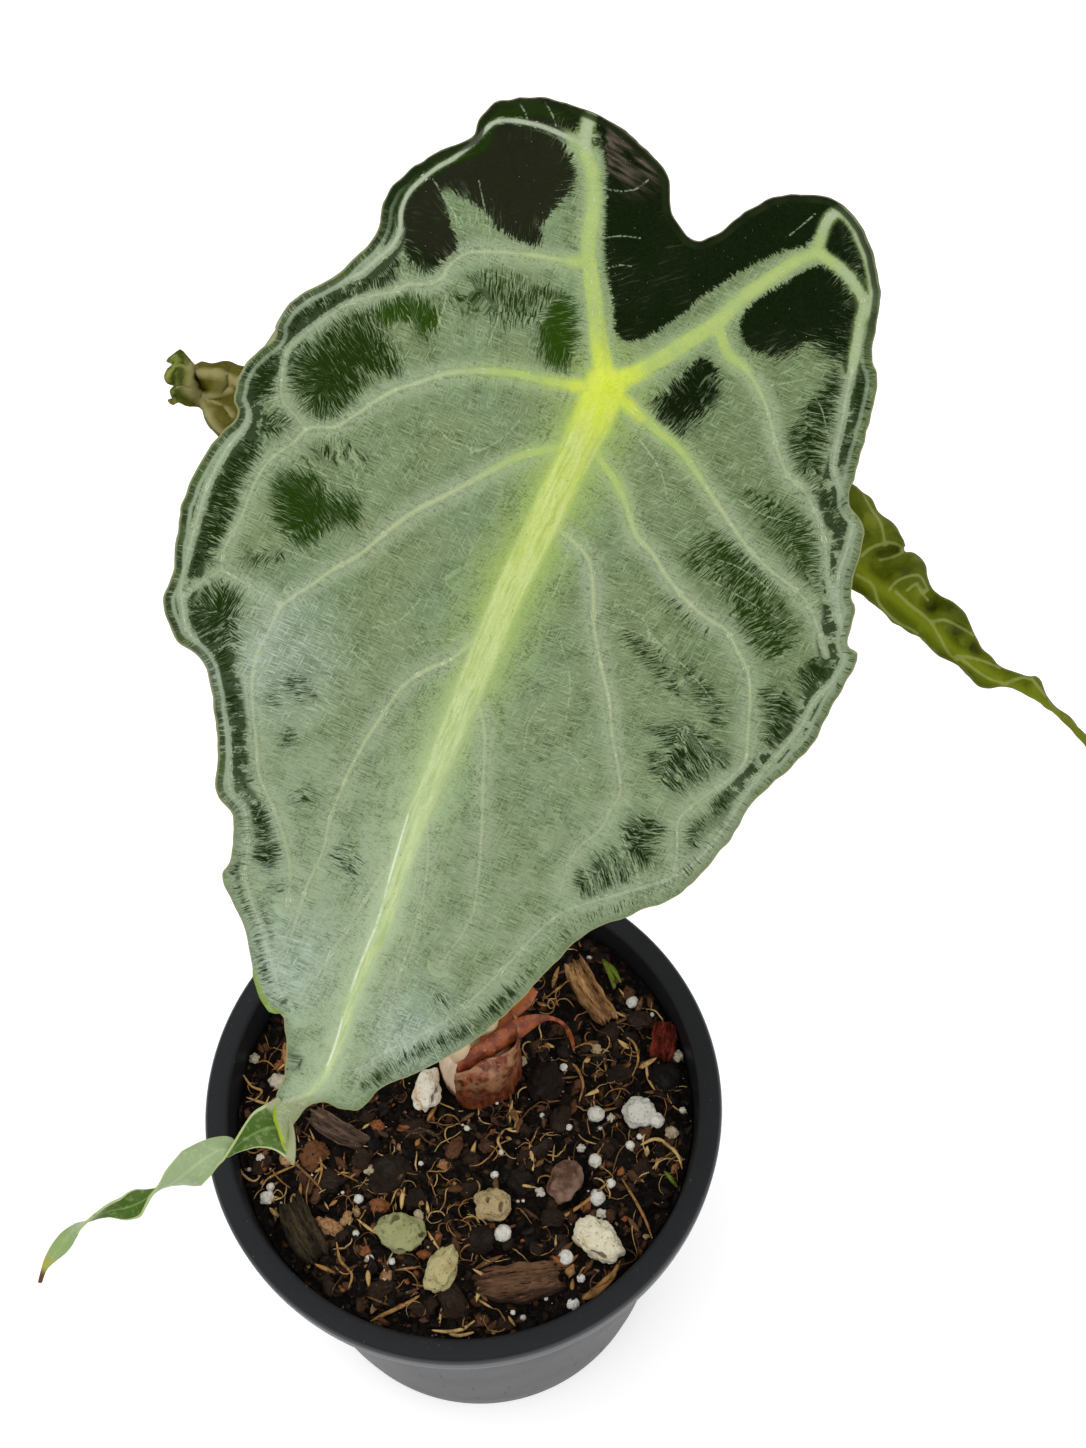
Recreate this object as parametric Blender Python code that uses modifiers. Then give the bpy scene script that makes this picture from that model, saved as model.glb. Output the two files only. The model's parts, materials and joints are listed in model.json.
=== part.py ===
"""A potted alocasia: a plastic pot of bark mix, a short corm, and three leaves on their stalks.

Metres, +Z up. The origin is the centre of the pot's base, and the front of the plant is towards -Y.
The leaves are drawn on a sheet as they look from EYE, and each drawn point is then pushed back along
its line of sight by a depth formula, so an outline stays true from the front while the blade dips,
curls and ripples.
"""

import math
import random

import bmesh
import bpy
from mathutils import Vector, noise
from mathutils.geometry import delaunay_2d_cdt
from mathutils.kdtree import KDTree

MM = 0.001
GAP = 0.3 * MM

# Pot
POT_HEIGHT = 115 * MM
POT_BASE_RADIUS = 47 * MM
RIM_RADIUS = 60 * MM
RIM_WIDTH = 5.5 * MM
RIM_DROP = 7 * MM
WALL = 1.5 * MM
FLOOR = 2 * MM
DRAIN_RADIUS = 4 * MM
DRAIN_CIRCLE = 31 * MM
DRAINS = 6
POT_SIDES = 60

# Soil
SOIL_TOP = POT_HEIGHT - 9 * MM
SOIL_POINT_SPACING = 3.3 * MM
SOIL_ROUGHNESS = 2.6 * MM
CRUMBS = 110

# Viewing point that the sheet is drawn from, and the sheet's own frame
EYE = Vector((20.9, -152.6, 561.5)) * MM
PITCH = math.radians(60.6)
ROLL = math.radians(-1.6)
SHEET_CENTRE = (543, 724)
SHEET_DISTANCE = 2000

# Blades
BLADE_THICKNESS = 0.9 * MM
FORWARD = Vector((0, math.cos(PITCH), -math.sin(PITCH)))
LEVEL_RIGHT = Vector((1, 0, 0))
LEVEL_UP = Vector((0, math.sin(PITCH), math.cos(PITCH)))
RIGHT = math.cos(ROLL) * LEVEL_RIGHT + math.sin(ROLL) * LEVEL_UP
UP = -math.sin(ROLL) * LEVEL_RIGHT + math.cos(ROLL) * LEVEL_UP

# Corm and stalks
CORM_SPOT = (478, 1066)
CORM_RADIUS = 8.8 * MM
CORM_TOP = SOIL_TOP + 17 * MM
CORM_FOOT = SOIL_TOP - 14 * MM
STALK_BASE_RADIUS = 2.6 * MM
STALK_SOCKET = 4 * MM
STALK_RING = 4.3 * MM

# Dry sheath: degrees round the corm, heights of its lip, and its curled arm as sheet points and heights in mm
SHEATH_START = -118
SHEATH_END = 52
SHEATH_LOW = 13 * MM
SHEATH_HIGH = 22 * MM
SHEATH_HOOD = 3.6 * MM
SHEATH_ARM = (
    (488, 1050, 19.8), (506, 1037, 20), (526, 1021, 20.5), (547, 1015, 21), (562, 1021, 18),
    (573, 1036, 13), (575, 1050, 8),
)

# Main leaf: drawn anticlockwise from the top of its left lobe, with the folded end of its tip last
MAIN_JOINT = (605, 387)
MAIN_DEPTH = 330 * MM
MAIN_LEAN = math.radians(23.8)
MAIN_EDGE = (
    (545, 98), (500, 101), (480, 118), (471, 138), (440, 151), (400, 178), (383, 203), (375, 236),
    (334, 276), (297, 296), (276, 322), (274, 338), (245, 364), (234, 396), (237, 416), (211, 445),
    (188, 486), (179, 519), (174, 567), (164, 600), (175, 637), (205, 666), (217, 735), (217, 792),
    (232, 815), (231, 857), (222, 880), (245, 928), (255, 985), (269, 1011), (283, 1018), (286, 1065),
    (276, 1099), (274, 1120), (289, 1158), (291, 1130), (303, 1112), (320, 1103), (358, 1110),
    (383, 1087), (425, 1069), (475, 1040), (522, 998), (580, 938), (632, 915), (682, 892), (730, 839),
    (753, 803), (809, 749), (826, 717), (858, 660), (848, 645), (855, 610), (851, 590), (864, 530),
    (849, 500), (858, 465), (873, 410), (877, 378), (872, 350), (881, 295), (868, 240), (840, 203),
    (800, 194), (760, 203), (715, 234), (694, 240), (673, 215), (668, 176), (643, 146), (605, 118),
)
MAIN_MIDRIB = (
    (605, 387), (570, 465), (535, 540), (490, 640), (440, 760), (400, 870), (368, 960), (340, 1040),
    (308, 1092),
)
MAIN_RIBS = (
    ((605, 380), (598, 330), (588, 260), (592, 190), (588, 125)),
    ((586, 146), (541, 126), (498, 121), (454, 158), (408, 194), (398, 236), (345, 280)),
    ((588, 264), (532, 255), (471, 252), (444, 277), (392, 292), (303, 335), (282, 374), (291, 411)),
    ((590, 388), (517, 374), (444, 374), (374, 402), (309, 428), (260, 473), (232, 534), (222, 570)),
    ((555, 450), (492, 470), (395, 525), (332, 570), (280, 608), (253, 675), (259, 774), (280, 830)),
    ((475, 640), (426, 670), (366, 740), (323, 850), (302, 905)),
    ((620, 385), (690, 340), (740, 300), (812, 253)),
    ((820, 238), (828, 218), (852, 222), (866, 262)),
    ((845, 273), (866, 310), (852, 371), (836, 448), (838, 492)),
    ((718, 325), (762, 396), (788, 476), (817, 516), (825, 580), (834, 632)),
    ((622, 400), (680, 450), (735, 530), (790, 585), (815, 622)),
    ((597, 455), (636, 535), (710, 620), (748, 673), (745, 761), (690, 808), (676, 862)),
    ((553, 524), (590, 570), (609, 700), (618, 780), (578, 848)),
    ((475, 706), (483, 783), (478, 900)),
)
MAIN_STALK = ((-1, 10, 30), (3, 26, 62), (16, 52, 120), (26, 71, 165))

# The twisted tail on the main leaf's tip: sheet x and y, depth in mm, half width in mm and turn in degrees
TAIL = (
    (293, 1106, 394, 1.8, -8), (283, 1120, 395, 3.2, 5), (264, 1127, 396, 4.3, 20), (246, 1138, 396, 4.0, 40),
    (230, 1150, 396, 3.9, 90), (210, 1159, 397, 4.9, 150), (186, 1170, 399, 4.1, 190),
    (155, 1189, 401, 1.4, 270), (132, 1203, 403, 2.7, 330), (112, 1211, 404, 2.9, 375),
    (82, 1227, 407, 1.2, 450), (62, 1246, 409, 2.1, 530), (49, 1262, 411, 1.3, 550), (41, 1281, 413, 0.5, 560),
)
TAIL_COLUMNS = 4
TAIL_HOLLOW = 0.35

# Left leaf: its underside faces the eye, and only the curled end of one lobe stands clear of the main leaf
LEFT_JOINT = (352, 452)
LEFT_DEPTH = 372 * MM
LEFT_EDGE = (
    (243, 364), (224, 362), (202, 362), (188, 359), (178, 352), (170, 361), (166, 373), (172, 384),
    (169, 401), (190, 406), (205, 414), (216, 434), (250, 470), (285, 520), (315, 580), (345, 640),
    (368, 690), (400, 650), (440, 580), (462, 520), (468, 455), (450, 400), (420, 372), (392, 380),
    (370, 405), (345, 400), (310, 372), (275, 362),
)
LEFT_MIDRIB = ((352, 452), (358, 540), (367, 670))
LEFT_RIBS = (
    ((350, 448), (300, 412), (240, 388), (190, 378)),
    ((358, 448), (400, 425), (438, 415)),
    ((352, 462), (310, 470), (275, 478)),
    ((356, 520), (330, 555), (325, 580)),
    ((356, 462), (410, 475), (448, 490)),
    ((360, 530), (395, 560), (420, 580)),
    ((240, 388), (225, 402), (212, 410)),
    ((240, 388), (218, 372), (195, 370)),
)
LEFT_STALK = ((-6, 5, 30), (-10, 18, 60), (-15, 34, 98), (-18, 49, 130))

# Right leaf: narrow and rolled, with quilted panels between its ribs
RIGHT_JOINT = (742, 470)
RIGHT_DEPTH = 371 * MM
RIGHT_EDGE = (
    (742, 440), (760, 418), (790, 412), (815, 424), (838, 450), (849, 480), (866, 496), (886, 517),
    (902, 538), (922, 564), (932, 588), (958, 606), (976, 634), (993, 659), (1036, 678), (1054, 704),
    (1086, 734), (1112, 762), (1140, 800), (1108, 770), (1080, 744), (1056, 717), (1021, 696),
    (989, 689), (966, 676), (930, 650), (897, 628), (866, 603), (830, 578), (795, 560), (750, 552),
    (715, 532), (695, 505), (690, 478), (705, 462), (725, 462),
)
RIGHT_MIDRIB = ((742, 472), (800, 520), (868, 578), (922, 624), (958, 656), (1010, 684), (1060, 712))
RIGHT_RIBS = (
    ((745, 468), (765, 445), (790, 432)),
    ((742, 476), (722, 490), (708, 500)),
    ((790, 512), (815, 480), (838, 470)),
    ((780, 506), (772, 525), (755, 540)),
    ((835, 550), (852, 520), (866, 510)),
    ((825, 541), (832, 558), (835, 570)),
    ((878, 588), (890, 560), (893, 535)),
    ((918, 620), (925, 600), (920, 577)),
    ((948, 646), (958, 630), (958, 616)),
)
RIGHT_STALK = ((5, 6, 30), (13, 20, 62), (34, 41, 110), (46, 55, 132))

# Stones on the soil: name, sheet point, length, width and height in mm, turn in degrees
STONES = (
    ("pumice_1", (428, 1093), 10.0, 6.2, 6.0, 80), ("pumice_2", (639, 1115), 7.6, 7.2, 6.0, 20),
    ("pumice_3", (598, 1243), 12.0, 8.4, 8.0, -40), ("pumice_4", (401, 1235), 11.0, 8.6, 7.0, -15),
    ("pumice_5", (442, 1272), 10.5, 6.4, 6.0, 65), ("pumice_6", (494, 1207), 8.4, 7.4, 6.0, 0),
    ("pebble", (565, 1184), 9.4, 7.2, 6.5, 60),
)
# Bark chips: name, sheet point, length, width and thickness in mm, turn in degrees
CHIPS = (
    ("bark_1", (588, 993), 18.0, 6.2, 5.0, -62), ("bark_2", (521, 1284), 18.5, 8.6, 5.0, 5),
    ("bark_3", (302, 1232), 15.5, 7.4, 4.5, -62), ("bark_4", (338, 1132), 15.0, 5.0, 4.0, -32),
    ("bark_5", (664, 1042), 9.0, 6.2, 4.5, 80),
)


def collection(name):
    """A new collection in the scene."""
    made = bpy.data.collections.new(name)
    bpy.context.scene.collection.children.link(made)
    return made


def material(name, colour, roughness):
    """A Principled material with a plain colour."""
    made = bpy.data.materials.new(name)
    made.use_nodes = True
    shader = made.node_tree.nodes["Principled BSDF"]
    shader.inputs["Base Color"].default_value = (*colour, 1)
    shader.inputs["Roughness"].default_value = roughness
    shader.inputs["Metallic"].default_value = 0
    return made


def add(name, mesh, home, finish=None):
    """An object for the mesh, in the collection home, shaded smooth where it is round."""
    part = bpy.data.objects.new(name, mesh)
    home.objects.link(part)
    if finish:
        mesh.materials.append(finish)
    mesh.shade_smooth()
    mesh.set_sharp_from_angle(angle=math.radians(50))
    return part


def mesh_of(shape, name):
    """The bmesh as a mesh with its faces pointing out."""
    bmesh.ops.recalc_face_normals(shape, faces=shape.faces)
    mesh = bpy.data.meshes.new(name)
    shape.to_mesh(mesh)
    shape.free()
    return mesh


def frozen(part):
    """Applies the object's modifiers."""
    graph = bpy.context.evaluated_depsgraph_get()
    mesh = bpy.data.meshes.new_from_object(part.evaluated_get(graph))
    part.modifiers.clear()
    part.data = mesh


def cut(part, cutters, operation="DIFFERENCE", solver="EXACT"):
    """One Boolean of the part with every mesh in the cutters' collection, applied."""
    boolean = part.modifiers.new("cut", "BOOLEAN")
    boolean.operation = operation
    boolean.operand_type = "COLLECTION"
    boolean.collection = cutters
    boolean.solver = solver
    frozen(part)


def clear(folder):
    """Removes the objects of a collection once a Boolean has used them."""
    for part in list(folder.objects):
        bpy.data.objects.remove(part)
    bpy.data.collections.remove(folder)


def sight(x, y):
    """The direction of the line of sight through a sheet point, one unit long along FORWARD."""
    across = (x - SHEET_CENTRE[0]) / SHEET_DISTANCE
    rise = (SHEET_CENTRE[1] - y) / SHEET_DISTANCE
    return FORWARD + across * RIGHT + rise * UP


def seen(x, y, depth):
    """The point at this depth that the sheet shows at (x, y)."""
    return EYE + depth * sight(x, y)


def on_level(x, y, z):
    """The point at height z that the sheet shows at (x, y)."""
    ray = sight(x, y)
    return EYE + ray * ((z - EYE.z) / ray.z)


def smooth_line(points, step, closed=False):
    """A Catmull-Rom curve through the points, as new points about a step apart."""
    knots = [Vector(p) for p in points]
    count = len(knots)
    line = []
    for i in range(count if closed else count - 1):
        before = knots[i - 1] if closed or i else knots[0]
        start = knots[i]
        end = knots[(i + 1) % count]
        after = knots[(i + 2) % count] if closed or i + 2 < count else end
        parts = max(1, round((end - start).length / step))
        for k in range(parts):
            t = k / parts
            line.append(
                0.5 * (2 * start + (end - before) * t
                       + (2 * before - 5 * start + 4 * end - after) * t ** 2
                       + (3 * start - before - 3 * end + after) * t ** 3)
            )
    if not closed:
        line.append(knots[-1])
    return line


def inside(point, outline):
    """Whether a sheet point lies inside a closed outline."""
    odd = False
    for a, b in zip(outline, outline[1:] + outline[:1]):
        if (a.y > point.y) != (b.y > point.y):
            if point.x < a.x + (point.y - a.y) * (b.x - a.x) / (b.y - a.y):
                odd = not odd
    return odd


def fade(distance, reach):
    """One at no distance, falling off as a bell of the given reach."""
    return math.exp(-((distance / reach) ** 2))


class Nearest:
    """The nearest of some sample points on the sheet, with how far along its line each one lies."""

    def __init__(self, lines):
        self.marks = []
        for line in lines:
            run = 0
            for i, point in enumerate(line):
                run += (point - line[i - 1]).length if i else 0
                self.marks.append((point, run))
        self.tree = KDTree(len(self.marks))
        for i, (point, run) in enumerate(self.marks):
            self.tree.insert((point.x, point.y, 0), i)
        self.tree.balance()

    def find(self, x, y):
        """The distance to the nearest sample, and how far along its line it is."""
        found = self.tree.find((x, y, 0))
        return found[2], self.marks[found[1]][1]


class Blade:
    """A leaf blade: an outline and ribs on the sheet, and the depths that shape it."""

    def __init__(self, joint, depth, edge, midrib, ribs, spacing):
        self.joint = joint
        self.depth = depth
        self.unit = depth / SHEET_DISTANCE
        step = spacing / self.unit
        self.step = step
        self.outline = smooth_line(edge, step * 0.8, closed=True)
        self.midrib = smooth_line(midrib, step)
        self.ribs = [smooth_line(rib, step) for rib in ribs]
        fine = step / 5
        self.near_edge = Nearest([smooth_line(edge, fine, closed=True)])
        self.near_midrib = Nearest([smooth_line(midrib, fine)])
        self.near_ribs = Nearest([smooth_line(rib, fine) for rib in ribs])

    def place(self, x, y):
        """Where a sheet point lies: right and up of the joint, in metres on the sheet at the joint."""
        return (x - self.joint[0]) * self.unit, (self.joint[1] - y) * self.unit

    def relief(self, x, y, groove, ripple, wave):
        """Depth added by sunken ribs, a turned-back rim and a rippled margin."""
        edge, run = self.near_edge.find(x, y)
        edge *= self.unit
        run *= self.unit
        rib = min(self.near_ribs.find(x, y)[0], self.near_midrib.find(x, y)[0] * 0.6) * self.unit
        margin = max(0, 1 - edge / (13 * MM)) ** 1.5
        phase = run * 2 * math.pi / wave
        return (
            groove * fade(rib, 2.6 * MM)
            + ripple * margin * math.sin(phase + 1.4 * math.sin(phase * 0.37))
            + 0.9 * MM * fade(edge, 1.6 * MM)
        )

    def shape(self, x, y):
        """The depth of the blade at a sheet point. Each leaf has its own."""
        raise NotImplementedError

    def point(self, x, y):
        """The point of the blade's seen face at a sheet point."""
        return seen(x, y, self.shape(x, y))

    def normal(self, x, y):
        """The direction out of the seen face, towards the eye."""
        tip = 8
        along = self.point(x + tip, y) - self.point(x - tip, y)
        rise = self.point(x, y - tip) - self.point(x, y + tip)
        return along.cross(rise).normalized()

    def thickness(self, x, y):
        """The blade's thickness, which grows to its ribs and to the joint."""
        joint = (Vector((x, y)) - Vector(self.joint)).length * self.unit
        middle, run = self.near_midrib.find(x, y)
        taper = max(0.15, 1 - run * self.unit / (150 * MM))
        rib = self.near_ribs.find(x, y)[0] * self.unit
        return (
            BLADE_THICKNESS
            + 2.4 * MM * taper * fade(middle * self.unit, 2.6 * MM)
            + 0.8 * MM * fade(rib, 1.7 * MM)
            + 0.8 * MM * fade(joint, 5 * MM)
        )

    def sheet_points(self):
        """The outline, the ribs and a field of points between them, with the edges that join them."""
        points = list(self.outline)
        edges = [(i, (i + 1) % len(points)) for i in range(len(points))]
        for line in [self.midrib] + self.ribs:
            inner = [p for p in line if self.near_edge.find(p.x, p.y)[0] > 0.45 * self.step]
            start = len(points)
            points += inner
            edges += [(start + i, start + i + 1) for i in range(len(inner) - 1)]
        taken = KDTree(len(points))
        for i, point in enumerate(points):
            taken.insert((point.x, point.y, 0), i)
        taken.balance()
        low = Vector((min(p.x for p in self.outline), min(p.y for p in self.outline)))
        high = Vector((max(p.x for p in self.outline), max(p.y for p in self.outline)))
        row = 0
        y = low.y
        while y < high.y:
            x = low.x + (row % 2) * self.step / 2
            while x < high.x:
                spot = Vector((x, y))
                if taken.find((x, y, 0))[2] > 0.62 * self.step and inside(spot, self.outline):
                    points.append(spot)
                x += self.step
            y += self.step * 0.87
            row += 1
        return points, edges

    def solid(self, name, home, finish, thicken_to_eye=False):
        """The blade as a closed solid: its seen face, and a back face with the ribs raised on it."""
        points, edges = self.sheet_points()
        spots, _, faces, *_ = delaunay_2d_cdt(points, edges, [], 1, 0.01)
        shape = bmesh.new()
        corners = [shape.verts.new(self.point(p.x, p.y)) for p in spots]
        for face in faces:
            shape.faces.new([corners[i] for i in face])
        shape.normal_update()
        eye_side = sum(f.normal.dot(FORWARD) * f.calc_area() for f in shape.faces)
        if eye_side > 0:
            bmesh.ops.reverse_faces(shape, faces=shape.faces)
        mesh = bpy.data.meshes.new(name)
        shape.to_mesh(mesh)
        shape.free()
        part = add(name, mesh, home, finish)
        group = part.vertex_groups.new(name="thickness")
        amounts = [self.thickness(p.x, p.y) for p in spots]
        most = max(amounts)
        for i, amount in enumerate(amounts):
            group.add([i], amount / most, "REPLACE")
        skin = part.modifiers.new("thickness", "SOLIDIFY")
        skin.thickness = most
        skin.offset = 1 if thicken_to_eye else -1
        skin.vertex_group = "thickness"
        frozen(part)
        return part


class MainBlade(Blade):
    """The big blade: it dips from its joint to its tip, and its sides fall back."""

    def shape(self, x, y):
        right, up = self.place(x, y)
        along = up * math.cos(MAIN_LEAN) + right * math.sin(MAIN_LEAN)
        across = right * math.cos(MAIN_LEAN) - up * math.sin(MAIN_LEAN)
        down = max(0, -along)
        lobe = max(0, along)
        dip = 0.34 * down + 1.05 * down ** 2 - 0.34 * lobe + 6.0 * lobe ** 2
        sides = across ** 2 / 0.24
        channel = -1.6 * MM * (1 - fade(across, 12 * MM))
        return self.depth + dip + sides + channel + self.relief(x, y, 0.9 * MM, 1.7 * MM, 27 * MM)


class LeftBlade(Blade):
    """A blade that hangs away on the far side, with one lobe curled up at its end."""

    def shape(self, x, y):
        right, up = self.place(x, y)
        down = max(0, -up)
        hang = 2.1 * down ** 2 / (down + 7 * MM)
        curl = 0.30 * max(0, -right - 8 * MM)
        roll = 2.2 * MM * math.sin(right / (5.2 * MM)) * min(1, max(0, -right / (20 * MM)))
        return self.depth + hang + curl + roll + self.relief(x, y, -0.5 * MM, 1.3 * MM, 11 * MM)


class RightBlade(Blade):
    """A narrow blade with rolled sides, which reaches out to the right and runs into a long tail."""

    def shape(self, x, y):
        right, up = self.place(x, y)
        middle, run = self.near_midrib.find(x, y)
        middle *= self.unit
        run *= self.unit
        reach = max(0, right)
        fall = 0.22 * reach + 1.1 * reach ** 2
        roll = min(middle ** 2 / (26 * MM), 8 * MM)
        quilt = -1.1 * MM * math.sin(run * 2 * math.pi / (10.5 * MM)) * (1 - fade(middle, 3 * MM))
        return self.depth + fall + roll + quilt + self.relief(x, y, 0.7 * MM, 0.8 * MM, 12 * MM)


def make_pot(home, cutters, finish):
    """A tapered pot with a flat rim and a short lip, turned from its profile, with drain holes in its floor."""
    taper = (RIM_RADIUS - RIM_WIDTH + WALL - POT_BASE_RADIUS) / (POT_HEIGHT - RIM_DROP)
    lip_foot = POT_HEIGHT - RIM_DROP
    round_off = 1.2 * MM
    profile = (
        (RIM_RADIUS - RIM_WIDTH, POT_HEIGHT - round_off),
        (RIM_RADIUS - RIM_WIDTH + 0.6 * MM, POT_HEIGHT),
        (RIM_RADIUS - round_off, POT_HEIGHT),
        (RIM_RADIUS - 0.3 * MM, POT_HEIGHT - 0.4 * MM),
        (RIM_RADIUS, POT_HEIGHT - round_off),
        (RIM_RADIUS - 0.3 * MM, lip_foot),
        (RIM_RADIUS - 1.2 * MM, lip_foot - 0.5 * MM),
        (POT_BASE_RADIUS + taper * (lip_foot - 0.5 * MM), lip_foot - 0.5 * MM),
        (POT_BASE_RADIUS + taper * round_off, round_off),
        (POT_BASE_RADIUS - 0.8 * MM, 0),
    )
    wall_inside = POT_BASE_RADIUS + taper * FLOOR - WALL
    shape = bmesh.new()
    rows = [shape.verts.new((radius, 0, z)) for radius, z in profile]
    rows.append(shape.verts.new((0, 0, 0)))
    start = shape.verts.new((0, 0, FLOOR))
    rows = [start, shape.verts.new((wall_inside, 0, FLOOR))] + rows
    for a, b in zip(rows, rows[1:]):
        shape.edges.new((a, b))
    mesh = bpy.data.meshes.new("pot")
    shape.to_mesh(mesh)
    shape.free()
    pot = add("pot", mesh, home, finish)
    turn = pot.modifiers.new("turn", "SCREW")
    turn.steps = POT_SIDES
    turn.render_steps = POT_SIDES
    turn.use_merge_vertices = True
    turn.merge_threshold = 0.00001
    frozen(pot)
    for i in range(DRAINS):
        angle = 2 * math.pi * i / DRAINS
        shape = bmesh.new()
        bmesh.ops.create_cone(
            shape, cap_ends=True, segments=16, radius1=DRAIN_RADIUS, radius2=DRAIN_RADIUS, depth=4 * FLOOR
        )
        drain = add(f"drain_cutter_{i}", mesh_of(shape, "drain"), cutters)
        drain.location = (DRAIN_CIRCLE * math.cos(angle), DRAIN_CIRCLE * math.sin(angle), 0)
    bpy.context.view_layer.update()
    cut(pot, cutters)
    pot.data.shade_smooth()
    pot.data.set_sharp_from_angle(angle=math.radians(35))
    return pot


def pot_inside(z):
    """The radius of the pot's inner wall at a height."""
    low = POT_BASE_RADIUS - WALL
    high = RIM_RADIUS - RIM_WIDTH
    return low + (high - low) * z / POT_HEIGHT


def soil_height(x, y, crumbs):
    """The height of the soil's rough top: rounded crumbs stand out of it, and it dips round the corm."""
    rough = noise.fractal(Vector((x, y, 0)) / (14 * MM), 0.8, 2.1, 3)
    corm = on_level(*CORM_SPOT, SOIL_TOP)
    near = fade(math.hypot(x - corm.x, y - corm.y), 17 * MM)
    lift = 0
    for spot, radius in crumbs:
        gap = (Vector((x, y)) - spot).length
        if gap < radius:
            lift = max(lift, 0.9 * radius * math.sqrt(1 - (gap / radius) ** 2))
    edge = math.hypot(x, y) / pot_inside(SOIL_TOP)
    return SOIL_TOP + (SOIL_ROUGHNESS * rough + lift) * (1 - near) - 1.5 * MM * near - 2.5 * MM * edge ** 6


def make_soil(home, finish):
    """The bark mix: a closed body that fills the pot, with a rough top."""
    draw = random.Random(11)
    radius = pot_inside(SOIL_TOP) - GAP
    crumbs = []
    for _ in range(CRUMBS):
        angle = draw.uniform(0, 2 * math.pi)
        reach = (radius - 4 * MM) * math.sqrt(draw.random())
        spot = Vector((reach * math.cos(angle), reach * math.sin(angle)))
        crumbs.append((spot, draw.uniform(1.8, 3.8) * MM))
    sides = 84
    rim = [Vector((math.cos(a), math.sin(a))) * radius for a in (2 * math.pi * i / sides for i in range(sides))]
    points = list(rim)
    row = 0
    y = -radius
    while y < radius:
        x = -radius + (row % 2) * SOIL_POINT_SPACING / 2
        while x < radius:
            if math.hypot(x, y) < radius - 0.6 * SOIL_POINT_SPACING:
                points.append(Vector((x, y)))
            x += SOIL_POINT_SPACING
        y += SOIL_POINT_SPACING * 0.87
        row += 1
    ring = [(i, (i + 1) % sides) for i in range(sides)]
    spots, _, faces, *_ = delaunay_2d_cdt(points, ring, [], 1, 1e-7)
    shape = bmesh.new()
    corners = [shape.verts.new((p.x, p.y, soil_height(p.x, p.y, crumbs))) for p in spots]
    for face in faces:
        shape.faces.new([corners[i] for i in face])
    for vert in (v for v in shape.verts if v.is_boundary):
        fit = (pot_inside(vert.co.z) - GAP) / radius
        vert.co.x *= fit
        vert.co.y *= fit
    border = [edge for edge in shape.edges if edge.is_boundary]
    walls = bmesh.ops.extrude_edge_only(shape, edges=border)["geom"]
    foot = FLOOR + GAP
    for vert in (g for g in walls if isinstance(g, bmesh.types.BMVert)):
        shrink = (pot_inside(foot) - GAP) / math.hypot(vert.co.x, vert.co.y)
        vert.co = Vector((vert.co.x * shrink, vert.co.y * shrink, foot))
    bottom = [edge for edge in shape.edges if edge.is_boundary]
    bmesh.ops.contextual_create(shape, geom=bottom)
    soil = add("soil", mesh_of(shape, "soil"), home, finish)
    return soil, crumbs


def lump(size, turn, spot, seed, roughness, detail=2, grow=0.0):
    """A rough rounded stone, as a mesh: size is length, width and height, and spot its middle."""
    shape = bmesh.new()
    bmesh.ops.create_icosphere(shape, subdivisions=detail, radius=1)
    offset = Vector((seed * 7.3, seed * 3.1, seed * 5.7))
    half = Vector(size) / 2
    for vert in shape.verts:
        out = vert.co.normalized()
        bump = 1 + roughness * noise.noise(out * 1.7 + offset)
        flat = Vector((out.x * half.x, out.y * half.y, out.z * half.z)) * bump
        flat += out * grow
        vert.co = Vector((
            flat.x * math.cos(turn) - flat.y * math.sin(turn),
            flat.x * math.sin(turn) + flat.y * math.cos(turn),
            flat.z,
        )) + spot
    return mesh_of(shape, "lump")


def chip(size, turn, spot, seed, grow=0.0):
    """A splinter of bark, as a mesh: a bar with broken ends and grooves along its top."""
    shape = bmesh.new()
    columns = 9
    rows = 5
    length, width, height = size
    grid = {}
    for side in (1, -1):
        for i in range(columns):
            u = i / (columns - 1) * 2 - 1
            for j in range(rows):
                v = j / (rows - 1) * 2 - 1
                taper = (1 - 0.45 * abs(u) ** 2.5) * (1 + 0.16 * noise.noise(Vector((u * 3, seed, 0))))
                broken = 0.10 * length * noise.noise(Vector((seed, v * 2.3, u)))
                groove = 0.16 * height * math.cos(j * math.pi) * (side > 0)
                x = u * length / 2 + broken * abs(u)
                y = v * width / 2 * taper + 0.05 * length * u * u
                z = side * height / 2 * (1 - 0.35 * v * v) * (1 - 0.25 * abs(u) ** 3) + groove
                out = Vector((u, v, side)).normalized() * grow * 1.5
                x, y, z = x + out.x, y + out.y, z + out.z
                grid[side, i, j] = shape.verts.new((
                    x * math.cos(turn) - y * math.sin(turn) + spot.x,
                    x * math.sin(turn) + y * math.cos(turn) + spot.y,
                    z + spot.z,
                ))
    for side in (1, -1):
        for i in range(columns - 1):
            for j in range(rows - 1):
                shape.faces.new([grid[side, i + a, j + b] for a, b in ((0, 0), (1, 0), (1, 1), (0, 1))])
    ends = [(i, 0) for i in range(columns)] + [(columns - 1, j) for j in range(1, rows)]
    ends += [(i, rows - 1) for i in range(columns - 2, -1, -1)] + [(0, j) for j in range(rows - 2, 0, -1)]
    for a, b in zip(ends, ends[1:] + ends[:1]):
        shape.faces.new([grid[1, *a], grid[1, *b], grid[-1, *b], grid[-1, *a]])
    bmesh.ops.triangulate(shape, faces=shape.faces)
    return mesh_of(shape, "chip")


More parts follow.
